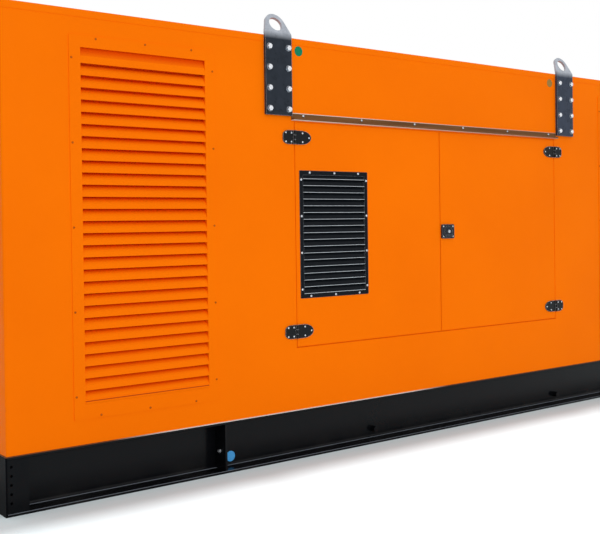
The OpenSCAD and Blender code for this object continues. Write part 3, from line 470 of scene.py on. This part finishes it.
def bolt_form(flat, head_h, washer_r, washer_t):
    """Hexagon head with a chamfered top on a round washer; flat is half the width across flats."""
    rim = washer_t / 3
    top = washer_t + head_h
    return turned([
        (washer_r, 0, "round"),
        (washer_r, washer_t - rim, "round"),
        (washer_r - rim, washer_t, "round"),
        (flat, washer_t, "hex"),
        (flat, top - head_h / 6, "hex"),
        (flat, top - head_h / 12, "round"),
        (flat * 0.9, top, "round"),
    ])


def screw_form(radius, height):
    """Pan head with a hexagon socket."""
    return turned([
        (radius, 0, "round"),
        (radius, height * 0.3, "round"),
        (radius * 0.9, height * 0.65, "round"),
        (radius * 0.66, height * 0.94, "round"),
        (radius * 0.46, height, "round"),
        (radius * 0.36, height, "hex"),
        (radius * 0.34, height * 0.45, "hex"),
    ])


def disc_form(radius, thickness):
    edge = thickness / 2
    return turned([
        (radius, 0, "round"),
        (radius, thickness - edge, "round"),
        (radius - edge, thickness, "round"),
    ], 2 * TURN_STEPS)


def swept(route, radius, sides=8, steps=6):
    """A round pipe along a smooth curve through the points of its route."""
    line = [Vector(p) for p in route]
    line = [2 * line[0] - line[1]] + line + [2 * line[-1] - line[-2]]
    path = []
    for i in range(1, len(line) - 2):
        a, b, c, d = line[i - 1:i + 3]
        for k in range(steps):
            t = k / steps
            bend = (2 * a - 5 * b + 4 * c - d) * t * t + (3 * b - a - 3 * c + d) * t * t * t
            path.append((2 * b + (c - a) * t + bend) / 2)
    path.append(line[-2])
    points = []
    across = None
    for i, at in enumerate(path):
        ahead = (path[min(i + 1, len(path) - 1)] - path[max(i - 1, 0)]).normalized()
        across = ahead.orthogonal() if across is None else across - ahead * across.dot(ahead)
        across.normalize()
        over = ahead.cross(across)
        for k in range(sides):
            angle = 2 * math.pi * k / sides
            points.append(at + radius * (across * math.cos(angle) + over * math.sin(angle)))
    faces = []
    for i in range(len(path) - 1):
        for k in range(sides):
            j = (k + 1) % sides
            low = i * sides
            faces.append((low + k, low + j, low + sides + j, low + sides + k))
    last = (len(path) - 1) * sides
    faces.append(tuple(reversed(range(sides))))
    faces.append(tuple(range(last, last + sides)))
    return points, faces


def belt_form(start_x, end_x, lower, upper, thickness, steps=20):
    """A belt round two pulleys on one upright line; each pulley is its height and radius."""
    lean = math.asin((lower[1] - upper[1]) / (upper[0] - lower[0]))
    points = []
    for x, grow in ((start_x, 0.0), (start_x, thickness), (end_x, thickness), (end_x, 0.0)):
        for (z, radius), first, turn in (
            (upper, lean, math.pi - 2 * lean),
            (lower, math.pi - lean, math.pi + 2 * lean),
        ):
            for k in range(steps + 1):
                angle = first + turn * k / steps
                reach = radius + grow
                points.append(Vector((x, reach * math.cos(angle), z + reach * math.sin(angle))))
    count = 2 * (steps + 1)
    faces = []
    for loop in range(4):
        low = loop * count
        high = (loop + 1) % 4 * count
        faces += [(low + k, low + (k + 1) % count, high + (k + 1) % count, high + k) for k in range(count)]
    return points, faces


def prism(section, start, end):
    """A section in Y and Z run along X from start to end."""
    count = len(section)
    points = [Vector((x, y, z)) for x in (start, end) for y, z in section]
    faces = [(i, (i + 1) % count, count + (i + 1) % count, count + i) for i in range(count)]
    faces.append(tuple(reversed(range(count))))
    faces.append(tuple(range(count, 2 * count)))
    return points, faces


def side_prism(section, start, end, facing):
    """A prism on a long side; its section is drawn for the front and turned round on the rear."""
    return prism(section if facing.y < 0 else section[::-1], start, end)


def band(centre, across, up, half_a, half_b, section):
    """A closed band round a rectangle; its section is in (distance out, height off the plane)."""
    normal = across.cross(up)
    corners = ((-1, -1), (1, -1), (1, 1), (-1, 1))
    points = []
    for out, rise in section:
        for a, b in corners:
            points.append(centre + across * a * (half_a + out) + up * b * (half_b + out) + normal * rise)
    count = len(section)
    faces = []
    for k in range(count):
        for c in range(4):
            d = (c + 1) % 4
            low = 4 * k
            high = 4 * ((k + 1) % count)
            faces.append((low + c, low + d, high + d, high + c))
    return points, faces


def piece(name, form, finish, body):
    """A mesh piece that rides on a body."""
    points, faces = form
    mesh = bpy.data.meshes.new(name)
    mesh.from_pydata(points, [], faces)
    mesh.shade_smooth()
    mesh.set_sharp_from_angle(angle=SHARP_ANGLE)
    mesh.materials.append(finish)
    obj = bpy.data.objects.new(name, mesh)
    bpy.context.scene.collection.objects.link(obj)
    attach(obj, body)
    return obj


def row(form, places, facing):
    """Many like forms as one set of points and faces, each standing out along facing."""
    turn = facing.to_track_quat("Z", "Y").to_matrix()
    points = []
    faces = []
    for place in places:
        start = len(points)
        points += [place + turn @ p for p in form[0]]
        faces += [tuple(start + i for i in face) for face in form[1]]
    return points, faces


def joined(forms):
    points = []
    faces = []
    for form_points, form_faces in forms:
        start = len(points)
        points += form_points
        faces += [tuple(start + i for i in face) for face in form_faces]
    return points, faces


def steps_about(middle, pitch, count):
    return [middle + pitch * (i - (count - 1) / 2) for i in range(count)]


def border_places(node, plane, across, inset, pitch_a, count_a, pitch_z, count_z):
    """Places of the fasteners round the border of an upright panel; across is 0 for X and 1 for Y."""
    lo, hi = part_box(node)
    mid = (lo + hi) / 2
    spots = []
    for z in (lo.z + inset, hi.z - inset):
        spots += [(a, z) for a in steps_about(mid[across], pitch_a, count_a)]
    for a in (lo[across] + inset, hi[across] - inset):
        spots += [(a, z) for z in steps_about(mid.z, pitch_z, count_z)]
    if across == 0:
        return [Vector((a, plane, z)) for a, z in spots]
    return [Vector((plane, a, z)) for a, z in spots]


# Camera
def make_camera():
    look = Vector((
        math.cos(CAMERA_PITCH) * math.cos(CAMERA_YAW),
        math.cos(CAMERA_PITCH) * math.sin(CAMERA_YAW),
        math.sin(CAMERA_PITCH),
    ))
    right = Vector((math.sin(CAMERA_YAW), -math.cos(CAMERA_YAW), 0.0))
    up = right.cross(look)
    roll_right = right * math.cos(CAMERA_ROLL) + up * math.sin(CAMERA_ROLL)
    roll_up = up * math.cos(CAMERA_ROLL) - right * math.sin(CAMERA_ROLL)
    data = bpy.data.cameras.new("camera")
    data.sensor_width = SENSOR
    data.lens = FOCAL_PX / IMAGE_WIDTH * SENSOR
    data.shift_y = -PRINCIPAL_RISE_PX / IMAGE_WIDTH
    data.clip_end = 100.0
    camera = bpy.data.objects.new("camera", data)
    turn = Matrix((roll_right, roll_up, -look)).transposed()
    camera.matrix_world = Matrix.Translation(CAMERA_AT) @ turn.to_4x4()
    bpy.context.scene.collection.objects.link(camera)
    bpy.context.scene.camera = camera


# Parts of the engine that have a tone of their own: two corners and the tone
MATT_BLACK = colour(30, 31, 33)
CAST_METAL = colour(150, 152, 154)
FILTER_CREAM = colour(206, 200, 184)
ENGINE_PARTS = {
    "sump": ((-0.20, -0.50, 0.20), (1.40, 0.50, 0.568), MATT_BLACK),
    "fan": ((1.41, -0.60, 0.20), (1.70, 0.60, 1.80), MATT_BLACK),
    "head lids": ((-0.12, -0.16, 1.272), (1.38, 0.16, 1.40), CAST_METAL),
    "intake manifold": ((-0.06, -0.39, 0.98), (1.32, -0.23, 1.137), CAST_METAL),
    "air cleaner": ((-0.04, -0.45, 1.308), (0.68, -0.18, 1.60), MATT_BLACK),
    "air pipe": ((0.53, -0.37, 1.137), (0.66, -0.25, 1.32), MATT_BLACK),
    "starter": ((-0.10, -0.41, 0.56), (0.295, -0.24, 0.80), MATT_BLACK),
    "fuel pump": ((0.405, -0.365, 0.725), (0.695, -0.262, 0.91), CAST_METAL),
    "filters": ((0.69, -0.38, 0.59), (1.08, -0.262, 0.859), FILTER_CREAM),
}


# Finishes of the CAD pieces
def paint_nodes(finish, *names):
    for name in names:
        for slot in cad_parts[name].material_slots:
            slot.material = finish


WALL_LO, WALL_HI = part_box("front_left_wall")
FACE_Y = WALL_LO.y
HALF_LEN = -WALL_LO.x
HALF_W = -FACE_Y
FOOT_Z = WALL_LO.z
WALL_TOP = WALL_HI.z
ROOF_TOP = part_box("roof")[1].z
DRIP_LO, DRIP_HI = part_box("front_drip_rail")


def paint_cad():
    lined_walls = (HALF_LEN - WALL_T + HAIR, HALF_W - WALL_T + HAIR, WALL_TOP + HAIR)
    lined_doors = (HALF_LEN, HALF_W - LOUVRE_SHEET + HAIR, WALL_TOP)
    paint_nodes(
        orange_paint("orange_walls", lined_walls),
        "front_header", "front_sill", "rear_header", "rear_sill", "left_end_wall", "roof",
    )
    beside_door = -WALL_HI.x + WALL_T
    open_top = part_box("front_left_louvre")[1].z - LOUVRE_TOP
    long_side = ("Y", HALF_W, beside_door, HALF_LEN - WALL_T, open_top)
    right_end = ("X", HALF_LEN, beside_door, HALF_LEN + WALL_T, open_top)
    paint_nodes(
        orange_paint("orange_side_walls", lined_walls, long_side),
        "front_left_wall", "front_right_wall", "rear_left_wall", "rear_right_wall",
    )
    paint_nodes(orange_paint("orange_right_end", lined_walls, right_end), "right_end_wall")
    paint_nodes(orange_paint("orange_rear_doors", lined_doors), "rear_doors")
    paint_nodes(
        orange_paint("orange_louvres", shaded_recess=long_side),
        "front_left_louvre", "front_right_louvre", "rear_left_louvre", "rear_right_louvre",
    )
    paint_nodes(orange_paint("orange_discharge", shaded_recess=right_end), "discharge_louvre")
    paint_nodes(orange_paint("orange_doors"), "front_left_door", "front_right_door")
    rail_y = HALF_W + BASE_LIP
    web_y = rail_y - RAIL_DEPTH
    # Painted highlights along the fillet between web and flange and along the flange's toe.
    fillet_near, fillet_far, fillet_low, fillet_high = 0.002, 0.014, 0.0004, 0.0028
    toe_w, toe_h = 0.005, 0.0018
    fillet_highlight = (
        (web_y + fillet_near, FLANGE_T + fillet_low),
        (web_y + fillet_far, FLANGE_T + fillet_high),
    )
    toe_highlight = ((rail_y - toe_w, FLANGE_T - toe_h), (rail_y + HAIR, FLANGE_T + HAIR))
    paint_nodes(
        black_paint("base_enamel", 0.1, (fillet_highlight, toe_highlight)),
        "base_front_rail", "base_rear_rail", "base_tank",
    )
    paint_nodes(black_paint("base_end_enamel", 0.01), "base_end_beams")
    paint_nodes(black_paint("base_plate_enamel", 0.07), "base_end_plates")
    paint_nodes(foam("door_foam"), "front_left_door_lining", "front_right_door_lining")
    # The right plates are painted lighter and bluer than the left: painted light on the same steel.
    left_plate = lug_plate("left_lug_plate", ROOF_TOP, colour(33, 39, 47), colour(41, 47, 56))
    right_plate = lug_plate("right_lug_plate", ROOF_TOP, colour(46, 54, 68), colour(54, 62, 78))
    paint_nodes(left_plate, "lifting_lug_front_left", "lifting_lug_rear_left")
    paint_nodes(right_plate, "lifting_lug_front_right", "lifting_lug_rear_right")
    rail_metal = drip_rail_metal(DRIP_LO.z, DRIP_BEAD, DRIP_HI.z - DRIP_LO.z)
    paint_nodes(rail_metal, "front_drip_rail", "rear_drip_rail")
    paint_nodes(
        satin_black("hinge_black", colour(4, 5, 7), colour(214, 217, 222), 0.7, 0.0028),
        "front_hinge_frame_leaves", "front_left_door_leaves", "front_right_door_leaves", "rear_hinges",
    )
    paint_nodes(
        satin_black("lock_black", colour(26, 30, 37), colour(160, 165, 174), 0.7, 0.0025),
        "front_lock", "rear_lock",
    )
    paint_nodes(
        satin_black("vent_coat", colour(3, 7, 13), colour(140, 146, 154), 0.65, 0.0025, specular=0.05),
        "front_door_vent", "rear_door_vent",
    )
    oil = colour(30, 27, 24)
    block = cast_paint(
        "engine_paint", colour(92, 102, 108), colour(112, 122, 128), oil, ENGINE_PARTS.values(),
    )
    barrel = cast_paint("alternator_paint", colour(70, 80, 92), colour(90, 100, 112), oil)
    paint_nodes(block, "engine")
    paint_nodes(barrel, "alternator")
    paint_nodes(radiator_finish(), "radiator")
    paint_nodes(hot_steel(), "exhaust_outlet", "exhaust_pipe")


# Fasteners
ZINC = bright_metal("zinc", colour(156, 160, 166), colour(224, 226, 230), 0.2)
# Louvre screws: orange paint made darker than the louvres, as painted shade.
DARK_SCREW = plain_coat("dark_screw", colour(170, 82, 8), colour(200, 98, 14), 0.45)

LUG_BOLT_COLUMN = 0.0625
LUG_BOLT_TOP = 0.062
LUG_BOLT_PITCH = 0.1083
LUG_WASHER_T = 0.003
LUG_BOLT = bolt_form(flat=0.0125, head_h=0.011, washer_r=0.0175, washer_t=LUG_WASHER_T)
PANEL_SCREW = screw_form(0.0052, 0.0035)
VENT_SCREW = screw_form(0.0070, 0.0045)
HINGE_SCREW = screw_form(0.0054, 0.0032)
RAIL_SCREW = screw_form(0.0075, 0.005)


def lug_bolts():
    washer_top = -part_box("lifting_lug_front_left")[0].y + LUG_WASHER_T + HAIR
    bolt_zinc = bright_metal("bolt_zinc", colour(200, 204, 210), colour(244, 245, 248), 0.2, washer_top)
    for side, facing in SIDES:
        for end in ("left", "right"):
            node = f"lifting_lug_{side}_{end}"
            lo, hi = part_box(node)
            mid_x = (lo.x + hi.x) / 2
            plane = lo.y if side == "front" else hi.y
            places = [
                Vector((mid_x + s * LUG_BOLT_COLUMN, plane, ROOF_TOP - LUG_BOLT_TOP - i * LUG_BOLT_PITCH))
                for s in (-1, 1)
                for i in range(4)
            ]
            piece(f"{node}_bolts", row(LUG_BOLT, places, facing), bolt_zinc, "canopy")


def louvre_screws():
    inset, pitch_a, pitch_z = 0.012, 0.2565, 0.3875
    for side, facing in SIDES:
        plane = facing.y * (HALF_W + LOUVRE_SHEET)
        for end in ("left", "right"):
            node = f"{side}_{end}_louvre"
            places = border_places(node, plane, 0, inset, pitch_a, 3, pitch_z, 5)
            piece(f"{node}_screws", row(PANEL_SCREW, places, facing), DARK_SCREW, "canopy")
    places = border_places("discharge_louvre", HALF_LEN + LOUVRE_SHEET, 1, inset, pitch_a, 5, pitch_z, 5)
    piece("discharge_louvre_screws", row(PANEL_SCREW, places, RIGHT), DARK_SCREW, "canopy")


def louvre_sills():
    """Folded lip at the foot of each louvre's opening, and over it a thin strip painted as shade."""
    shade_strip_z, shade_strip_h, shade_strip_out = 0.0795, 0.0045, 0.0004
    lip_h, lip_out = 0.011, 0.0025
    # Painted shade: the strip over the lip is a dark red line where shade falls.
    shade = plain_coat("groove_shade", colour(176, 60, 0), colour(186, 66, 0), 0.6)
    lip_paint = orange_paint("orange_lips")
    for side, facing in SIDES:
        plane = facing.y * (HALF_W + LOUVRE_SHEET)
        for end in ("left", "right"):
            node = f"{side}_{end}_louvre"
            lo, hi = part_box(node)
            start, stop = lo.x + LOUVRE_SIDE, hi.x - LOUVRE_SIDE
            z = lo.z + shade_strip_z
            out = plane + facing.y * shade_strip_out
            shade_strip = [(plane, z), (out, z), (out, z + shade_strip_h), (plane, z + shade_strip_h)]
            out = plane + facing.y * lip_out
            lip = [(plane, z - lip_h), (out, z - lip_h * 0.6), (out, z - lip_h * 0.2), (plane, z)]
            shade_strip_form = side_prism(shade_strip, start, stop, facing)
            lip_form = side_prism(lip, start, stop, facing)
            piece(f"{node}_groove", shade_strip_form, shade, "canopy")
            piece(f"{node}_lip", lip_form, lip_paint, "canopy")


def vent_screws_and_lips():
    inset, pitch_a, pitch_z = 0.0105, 0.174, 0.198
    border, pitch, count = 0.024, 0.0366, 18
    lip_h, lip_out, lip_in = 0.0026, 0.0012, 0.0008
    # Painted highlight: pale strips at the blades' feet stand in for the light caught on their edges.
    lip_highlight = bright_metal("lip_highlight", colour(186, 190, 196), colour(232, 236, 241), 0.3)
    for side, facing, body in (("front", FRONT, "left_door"), ("rear", REAR, "canopy")):
        node = f"{side}_door_vent"
        plane = facing.y * (HALF_W + VENT_SHEET)
        places = border_places(node, plane, 0, inset, pitch_a, 3, pitch_z, 4)
        piece(f"{node}_screws", row(VENT_SCREW, places, facing), ZINC, body)
        lo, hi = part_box(node)
        lips = []
        for i in range(count):
            z = lo.z + border + i * pitch
            out = plane + facing.y * lip_out
            back = plane - facing.y * lip_in
            section = [(back, z), (out, z + lip_h * 0.2), (out, z + lip_h * 0.8), (back, z + lip_h)]
            lips.append(side_prism(section, lo.x + border, hi.x - border, facing))
        piece(f"{node}_lips", joined(lips), lip_highlight, body)


def drip_screws():
    rise, pitch, count = 0.027, 0.419, 6
    for side, facing in SIDES:
        plane = facing.y * (HALF_W + DRIP_SHEET)
        places = [Vector((x, plane, DRIP_LO.z + rise)) for x in steps_about(0, pitch, count)]
        piece(f"{side}_drip_rail_screws", row(RAIL_SCREW, places, facing), ZINC, "canopy")


def hinge_screws():
    frame_columns = (0.021, 0.058)
    door_column, nose_column, row_z = 0.054, 0.098, 0.024
    lo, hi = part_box("front_left_door_leaves")
    heights = (lo.z + HINGE_H / 2, hi.z - HINGE_H / 2)
    pin_x = -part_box("front_header")[0].x
    for side, facing in SIDES:
        plane = facing.y * (HALF_W + HINGE_LEAF_T)
        for s, door in ((-1, "left"), (1, "right")):
            on_frame = [
                Vector((s * (pin_x + c), plane, z + r))
                for z in heights
                for c in frame_columns
                for r in (-row_z, row_z)
            ]
            on_door = [
                Vector((s * (pin_x - door_column), plane, z + r)) for z in heights for r in (-row_z, row_z)
            ]
            on_door += [Vector((s * (pin_x - nose_column), plane, z)) for z in heights]
            body = f"{door}_door" if side == "front" else "canopy"
            piece(
                f"{side}_{door}_hinge_frame_screws",
                row(HINGE_SCREW, on_frame, facing), ZINC, "canopy",
            )
            piece(
                f"{side}_{door}_hinge_door_screws",
                row(HINGE_SCREW, on_door, facing), ZINC, body,
            )


def lock_parts():
    inset = 0.0125
    key_r, key_rim, key_h, key_chamfer = 0.0095, 0.0018, 0.0026, 0.0009
    socket_r, socket_foot_r, socket_foot = 0.0030, 0.0028, 0.0010
    key = turned([
        (key_r, 0, "round"),
        (key_r, key_rim, "round"),
        (key_r - key_chamfer, key_h, "round"),
        (socket_r, key_h, "hex"),
        (socket_foot_r, socket_foot, "hex"),
    ])
    for side, facing, body in (("front", FRONT, "right_door"), ("rear", REAR, "canopy")):
        lo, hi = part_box(f"{side}_lock")
        mid = (lo + hi) / 2
        plane = facing.y * (HALF_W + LOCK_T)
        places = [
            Vector((x, plane, z))
            for x in (lo.x + inset, hi.x - inset)
            for z in (lo.z + inset, hi.z - inset)
        ]
        piece(f"{side}_lock_screws", row(HINGE_SCREW, places, facing), ZINC, body)
        key_at = Vector((mid.x, plane + facing.y * BARREL_RISE, mid.z))
        piece(f"{side}_lock_key", row(key, [key_at], facing), ZINC, body)


# Base and canopy trim
def base_parts():
    web_y = -(HALF_W + BASE_LIP) + RAIL_DEPTH
    fin_x, earth_z, earth_out = -1.571, 0.105, 0.042
    blue_x, blue_z, blue_r = -1.485, 0.056, 0.0275
    blue = plain_coat("blue_film", colour(70, 160, 228), colour(88, 176, 238), 0.4)
    earth_y = web_y - earth_out
    bolt = bolt_form(flat=0.0085, head_h=0.008, washer_r=0.0115, washer_t=0.0025)
    heads = [
        row(bolt, [Vector((fin_x - FIN_HALF_T, earth_y, earth_z))], LEFT),
        row(bolt, [Vector((fin_x + FIN_HALF_T, earth_y, earth_z))], RIGHT),
    ]
    piece("earth_bolt", joined(heads), ZINC, "canopy")
    spot = row(disc_form(blue_r, FILM_T), [Vector((blue_x, web_y, blue_z))], FRONT)
    piece("base_disc", spot, blue, "canopy")


def canopy_trim():
    bead_w, bead_top_w, bead_side_h, bead_h = 0.005, 0.004, 0.0025, 0.004
    highlight_from, highlight_to = -1.9, -0.25
    foot = band(
        Vector((0, 0, FOOT_Z)), RIGHT, REAR, HALF_LEN, HALF_W,
        [(0.0, 0.0), (bead_w, 0.0), (bead_top_w, bead_side_h), (0.0, bead_h)],
    )
    piece("foot_seal", foot, bead_highlight(highlight_from, highlight_to), "canopy")
    green = plain_coat("green_film", colour(0, 118, 84), colour(8, 132, 96), 0.4)
    olive = plain_coat("olive_film", colour(140, 114, 58), colour(166, 126, 62), 0.4)
    disc_x, disc_z, disc_r = 1.0715, 2.193, 0.027
    spot = disc_form(disc_r, FILM_T)
    for side, facing in SIDES:
        for end, s, film in (("left", -1, green), ("right", 1, olive)):
            place = Vector((s * disc_x, facing.y * HALF_W, disc_z))
            piece(f"{side}_{end}_disc", row(spot, [place], facing), film, "canopy")


def door_seals():
    rubber = plain_coat("seal_rubber", colour(24, 24, 25), colour(40, 40, 41), 0.6)
    back_y = FACE_Y + LINING_BACK
    outer, inner, crown_outer, crown_inner = -0.002, -0.016, -0.006, -0.012
    side_h, crown_h = 0.006, 0.0085
    section = [
        (outer, 0.0), (outer, side_h), (crown_outer, crown_h),
        (crown_inner, crown_h), (inner, side_h), (inner, 0.0),
    ]
    for door in ("left", "right"):
        lo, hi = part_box(f"front_{door}_door_lining")
        mid = (lo + hi) / 2
        centre = Vector((mid.x, back_y, mid.z))
        seal = band(centre, LEFT, UP, (hi.x - lo.x) / 2, (hi.z - lo.z) / 2, section)
        piece(f"{door}_door_seal", seal, rubber, f"{door}_door")


def gap_strip(facing, start_x, end_x, low, high, depth):
    """A flat strip in a gap of a long side; depth is how far its face lies behind the side's face."""
    thickness = 0.004
    out = facing.y * (HALF_W - depth)
    back = facing.y * (HALF_W - depth - thickness)
    return side_prism([(back, low), (out, low), (out, high), (back, high)], start_x, end_x, facing)


def door_stops():
    """Painted strips in the gaps round the doors: on the frame's sides, top and foot, and along the seam."""
    depth, foot_depth = 0.003, 0.011
    clear, seam_clear = 0.001, 0.002
    paint = orange_paint("orange_stops")
    half_open = -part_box("front_header")[0].x
    door_lo, door_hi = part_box("front_left_door")
    reach = door_lo.x + half_open - clear
    seam_half = -door_hi.x
    seam_start, seam_end = -seam_half - HAIR, seam_half - seam_clear
    for side, facing, body in (("front", FRONT, "left_door"), ("rear", REAR, "canopy")):
        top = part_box(f"{side}_header")[0].z
        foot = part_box(f"{side}_sill")[1].z
        frame_stop = joined([
            gap_strip(facing, -half_open, half_open, foot - HAIR, foot + reach, foot_depth),
            gap_strip(facing, -half_open, half_open, top - reach, top + HAIR, depth),
            gap_strip(facing, -half_open - HAIR, reach - half_open, foot + reach, top - reach, depth),
            gap_strip(facing, half_open - reach, half_open + HAIR, foot + reach, top - reach, depth),
        ])
        piece(f"{side}_door_stop", frame_stop, paint, "canopy")
        seam_stop = gap_strip(facing, seam_start, seam_end, door_lo.z, door_hi.z, depth)
        piece(f"{side}_seam_stop", seam_stop, paint, body)


# Engine bay
CYLINDERS = 6
BAY = 0.250
FIRST_HEAD_X = 0.005


def fuel_pipes():
    nozzle_x, nozzle_pitch, nozzle_y, nozzle_z = 0.4458, 0.0417, -0.321, 0.898
    nozzle_rise, pipe_r = 0.035, 0.0045
    rise_y, head_y, head_z, head_side = -0.405, -0.184, 1.215, -0.06
    low_share, low_z, high_share, high_z = 0.2, 0.985, 0.7, 1.10
    bend_y, bend_z, entry_y, entry_z = rise_y + 0.045, 1.165, -0.25, 1.205
    pipes = []
    for i in range(CYLINDERS):
        start_x = nozzle_x + i * nozzle_pitch
        end_x = FIRST_HEAD_X + i * BAY + head_side
        span = end_x - start_x
        pipes.append(swept([
            (start_x, nozzle_y, nozzle_z),
            (start_x, nozzle_y, nozzle_z + nozzle_rise),
            (start_x + span * low_share, rise_y, low_z),
            (start_x + span * high_share, rise_y, high_z),
            (end_x, bend_y, bend_z),
            (end_x, entry_y, entry_z),
            (end_x, head_y, head_z),
        ], pipe_r))
    piece("fuel_pipes", joined(pipes), ZINC, "canopy")


def engine_bolts():
    small_bolt = bolt_form(flat=0.0085, head_h=0.008, washer_r=0.0125, washer_t=0.0025)
    lid_z, lid_y = 1.390, 0.085
    lids = [Vector((FIRST_HEAD_X + i * BAY, s * lid_y, lid_z)) for i in range(CYLINDERS) for s in (-1, 1)]
    box_x, box_z, box_half_x, box_half_y = -0.710, 1.2295, 0.264, 0.244
    lids += [Vector((box_x + a * box_half_x, b * box_half_y, box_z)) for a in (-1, 0, 1) for b in (-1, 1)]
    piece("engine_bay_bolts", row(small_bolt, lids, UP), ZINC, "canopy")


def fan_belt():
    rubber = plain_coat("belt_rubber", colour(22, 22, 23), colour(34, 34, 35), 0.6)
    start_x, end_x, thickness = 1.428, 1.438, 0.010
    crank_pulley, fan_pulley = (0.730, 0.1067), (1.010, 0.085)
    belt = belt_form(start_x, end_x, crank_pulley, fan_pulley, thickness)
    piece("fan_belt", belt, rubber, "canopy")


def lining_pins():
    """Broad-headed pins that hold the foam in the doors."""
    pin = disc_form(0.015, 0.003)
    margin, columns, rows, clear = 0.11, 4, 5, 0.04
    vent_lo, vent_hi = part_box("front_door_vent")
    for door in ("left", "right"):
        lo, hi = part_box(f"front_{door}_door_lining")
        places = []
        for i in range(columns):
            x = lo.x + margin + (hi.x - lo.x - 2 * margin) * i / (columns - 1)
            for k in range(rows):
                z = lo.z + margin + (hi.z - lo.z - 2 * margin) * k / (rows - 1)
                in_x = vent_lo.x - clear < x < vent_hi.x + clear
                in_z = vent_lo.z - clear < z < vent_hi.z + clear
                if not (in_x and in_z):
                    places.append(Vector((x, hi.y, z)))
        piece(f"{door}_lining_pins", row(pin, places, REAR), ZINC, f"{door}_door")


# Stage and light
FLOOR_REACH = 60.0
FLOOR_COLOUR = (0.59, 0.675, 0.70, 1.0)
FLOOR_BOUNCE = (0.40, 0.42, 0.43, 1.0)
FLOOR_LIFT = 0.10
WORLD_FILL = 0.86
LAMP_POWER = 166.0
LAMP_SIZE = 5.0
LAMP_AT = Vector((-1.5, -9.5, 2.7))
LAMP_AIM = Vector((0.0, 0.0, 1.0))
TOP_LIGHT = 2.8
TOP_LIGHT_SPREAD = math.radians(6)
TOP_LIGHT_AIM = Vector((-0.10, -0.11, -1.0))


def seen_directly(tree):
    """1 for camera, glossy and transmission rays, 0 for the rest."""
    path = tree.nodes.new("ShaderNodeLightPath")
    total = path.outputs["Is Camera Ray"]
    for name in ("Is Glossy Ray", "Is Transmission Ray"):
        add = tree.nodes.new("ShaderNodeMath")
        add.operation = "MAXIMUM"
        tree.links.new(total, add.inputs[0])
        tree.links.new(path.outputs[name], add.inputs[1])
        total = add.outputs[0]
    return total


def make_world():
    world = bpy.data.worlds.new("studio")
    bpy.context.scene.world = world
    world.use_nodes = True
    tree = world.node_tree
    level = tree.nodes.new("ShaderNodeMapRange")
    level.inputs["To Min"].default_value = WORLD_FILL
    level.inputs["To Max"].default_value = 1.0
    tree.links.new(seen_directly(tree), level.inputs["Value"])
    background = tree.nodes["Background"]
    background.inputs["Color"].default_value = (1, 1, 1, 1)
    tree.links.new(level.outputs["Result"], background.inputs["Strength"])


def make_floor():
    mesh = bpy.data.meshes.new("floor")
    corners = [(-1, -1), (1, -1), (1, 1), (-1, 1)]
    mesh.from_pydata([(a * FLOOR_REACH, b * FLOOR_REACH, 0) for a, b in corners], [], [(0, 1, 2, 3)])
    material = bpy.data.materials.new("pale_floor")
    material.use_nodes = True
    tree = material.node_tree
    tree.nodes.remove(tree.nodes["Principled BSDF"])
    diffuse = tree.nodes.new("ShaderNodeBsdfDiffuse")
    tone = tree.nodes.new("ShaderNodeMix")
    tone.data_type = "RGBA"
    tone.inputs[6].default_value = FLOOR_BOUNCE
    tone.inputs[7].default_value = FLOOR_COLOUR
    tree.links.new(seen_directly(tree), tone.inputs[0])
    tree.links.new(tone.outputs[2], diffuse.inputs["Color"])
    glow = tree.nodes.new("ShaderNodeEmission")
    lift = tree.nodes.new("ShaderNodeMath")
    lift.operation = "MULTIPLY"
    lift.inputs[1].default_value = FLOOR_LIFT
    tree.links.new(seen_directly(tree), lift.inputs[0])
    tree.links.new(lift.outputs[0], glow.inputs["Strength"])
    add = tree.nodes.new("ShaderNodeAddShader")
    tree.links.new(diffuse.outputs[0], add.inputs[0])
    tree.links.new(glow.outputs[0], add.inputs[1])
    tree.links.new(add.outputs[0], tree.nodes["Material Output"].inputs["Surface"])
    mesh.materials.append(material)
    floor = bpy.data.objects.new("floor", mesh)
    bpy.context.scene.collection.objects.link(floor)
    return floor


def make_lamp():
    data = bpy.data.lights.new("soft_lamp", "AREA")
    data.energy = LAMP_POWER
    data.size = LAMP_SIZE
    lamp = bpy.data.objects.new("soft_lamp", data)
    lamp.location = LAMP_AT
    lamp.rotation_euler = (LAMP_AIM - LAMP_AT).to_track_quat("-Z", "Y").to_euler()
    bpy.context.scene.collection.objects.link(lamp)


def make_top_light(floor):
    """Light from straight above on the floor alone, where the object casts its narrow shadow."""
    data = bpy.data.lights.new("top_light", "SUN")
    data.energy = TOP_LIGHT
    data.angle = TOP_LIGHT_SPREAD
    lamp = bpy.data.objects.new("top_light", data)
    lamp.rotation_euler = TOP_LIGHT_AIM.to_track_quat("-Z", "Y").to_euler()
    bpy.context.scene.collection.objects.link(lamp)
    lit = bpy.data.collections.new("lit_by_top_light")
    lit.objects.link(floor)
    lamp.light_linking.receiver_collection = lit


make_camera()
paint_cad()
lug_bolts()
louvre_screws()
louvre_sills()
vent_screws_and_lips()
drip_screws()
hinge_screws()
lock_parts()
base_parts()
canopy_trim()
door_seals()
door_stops()
fuel_pipes()
engine_bolts()
fan_belt()
lining_pins()
make_world()
floor = make_floor()
make_lamp()
make_top_light(floor)
bpy.context.scene.view_settings.view_transform = "Standard"
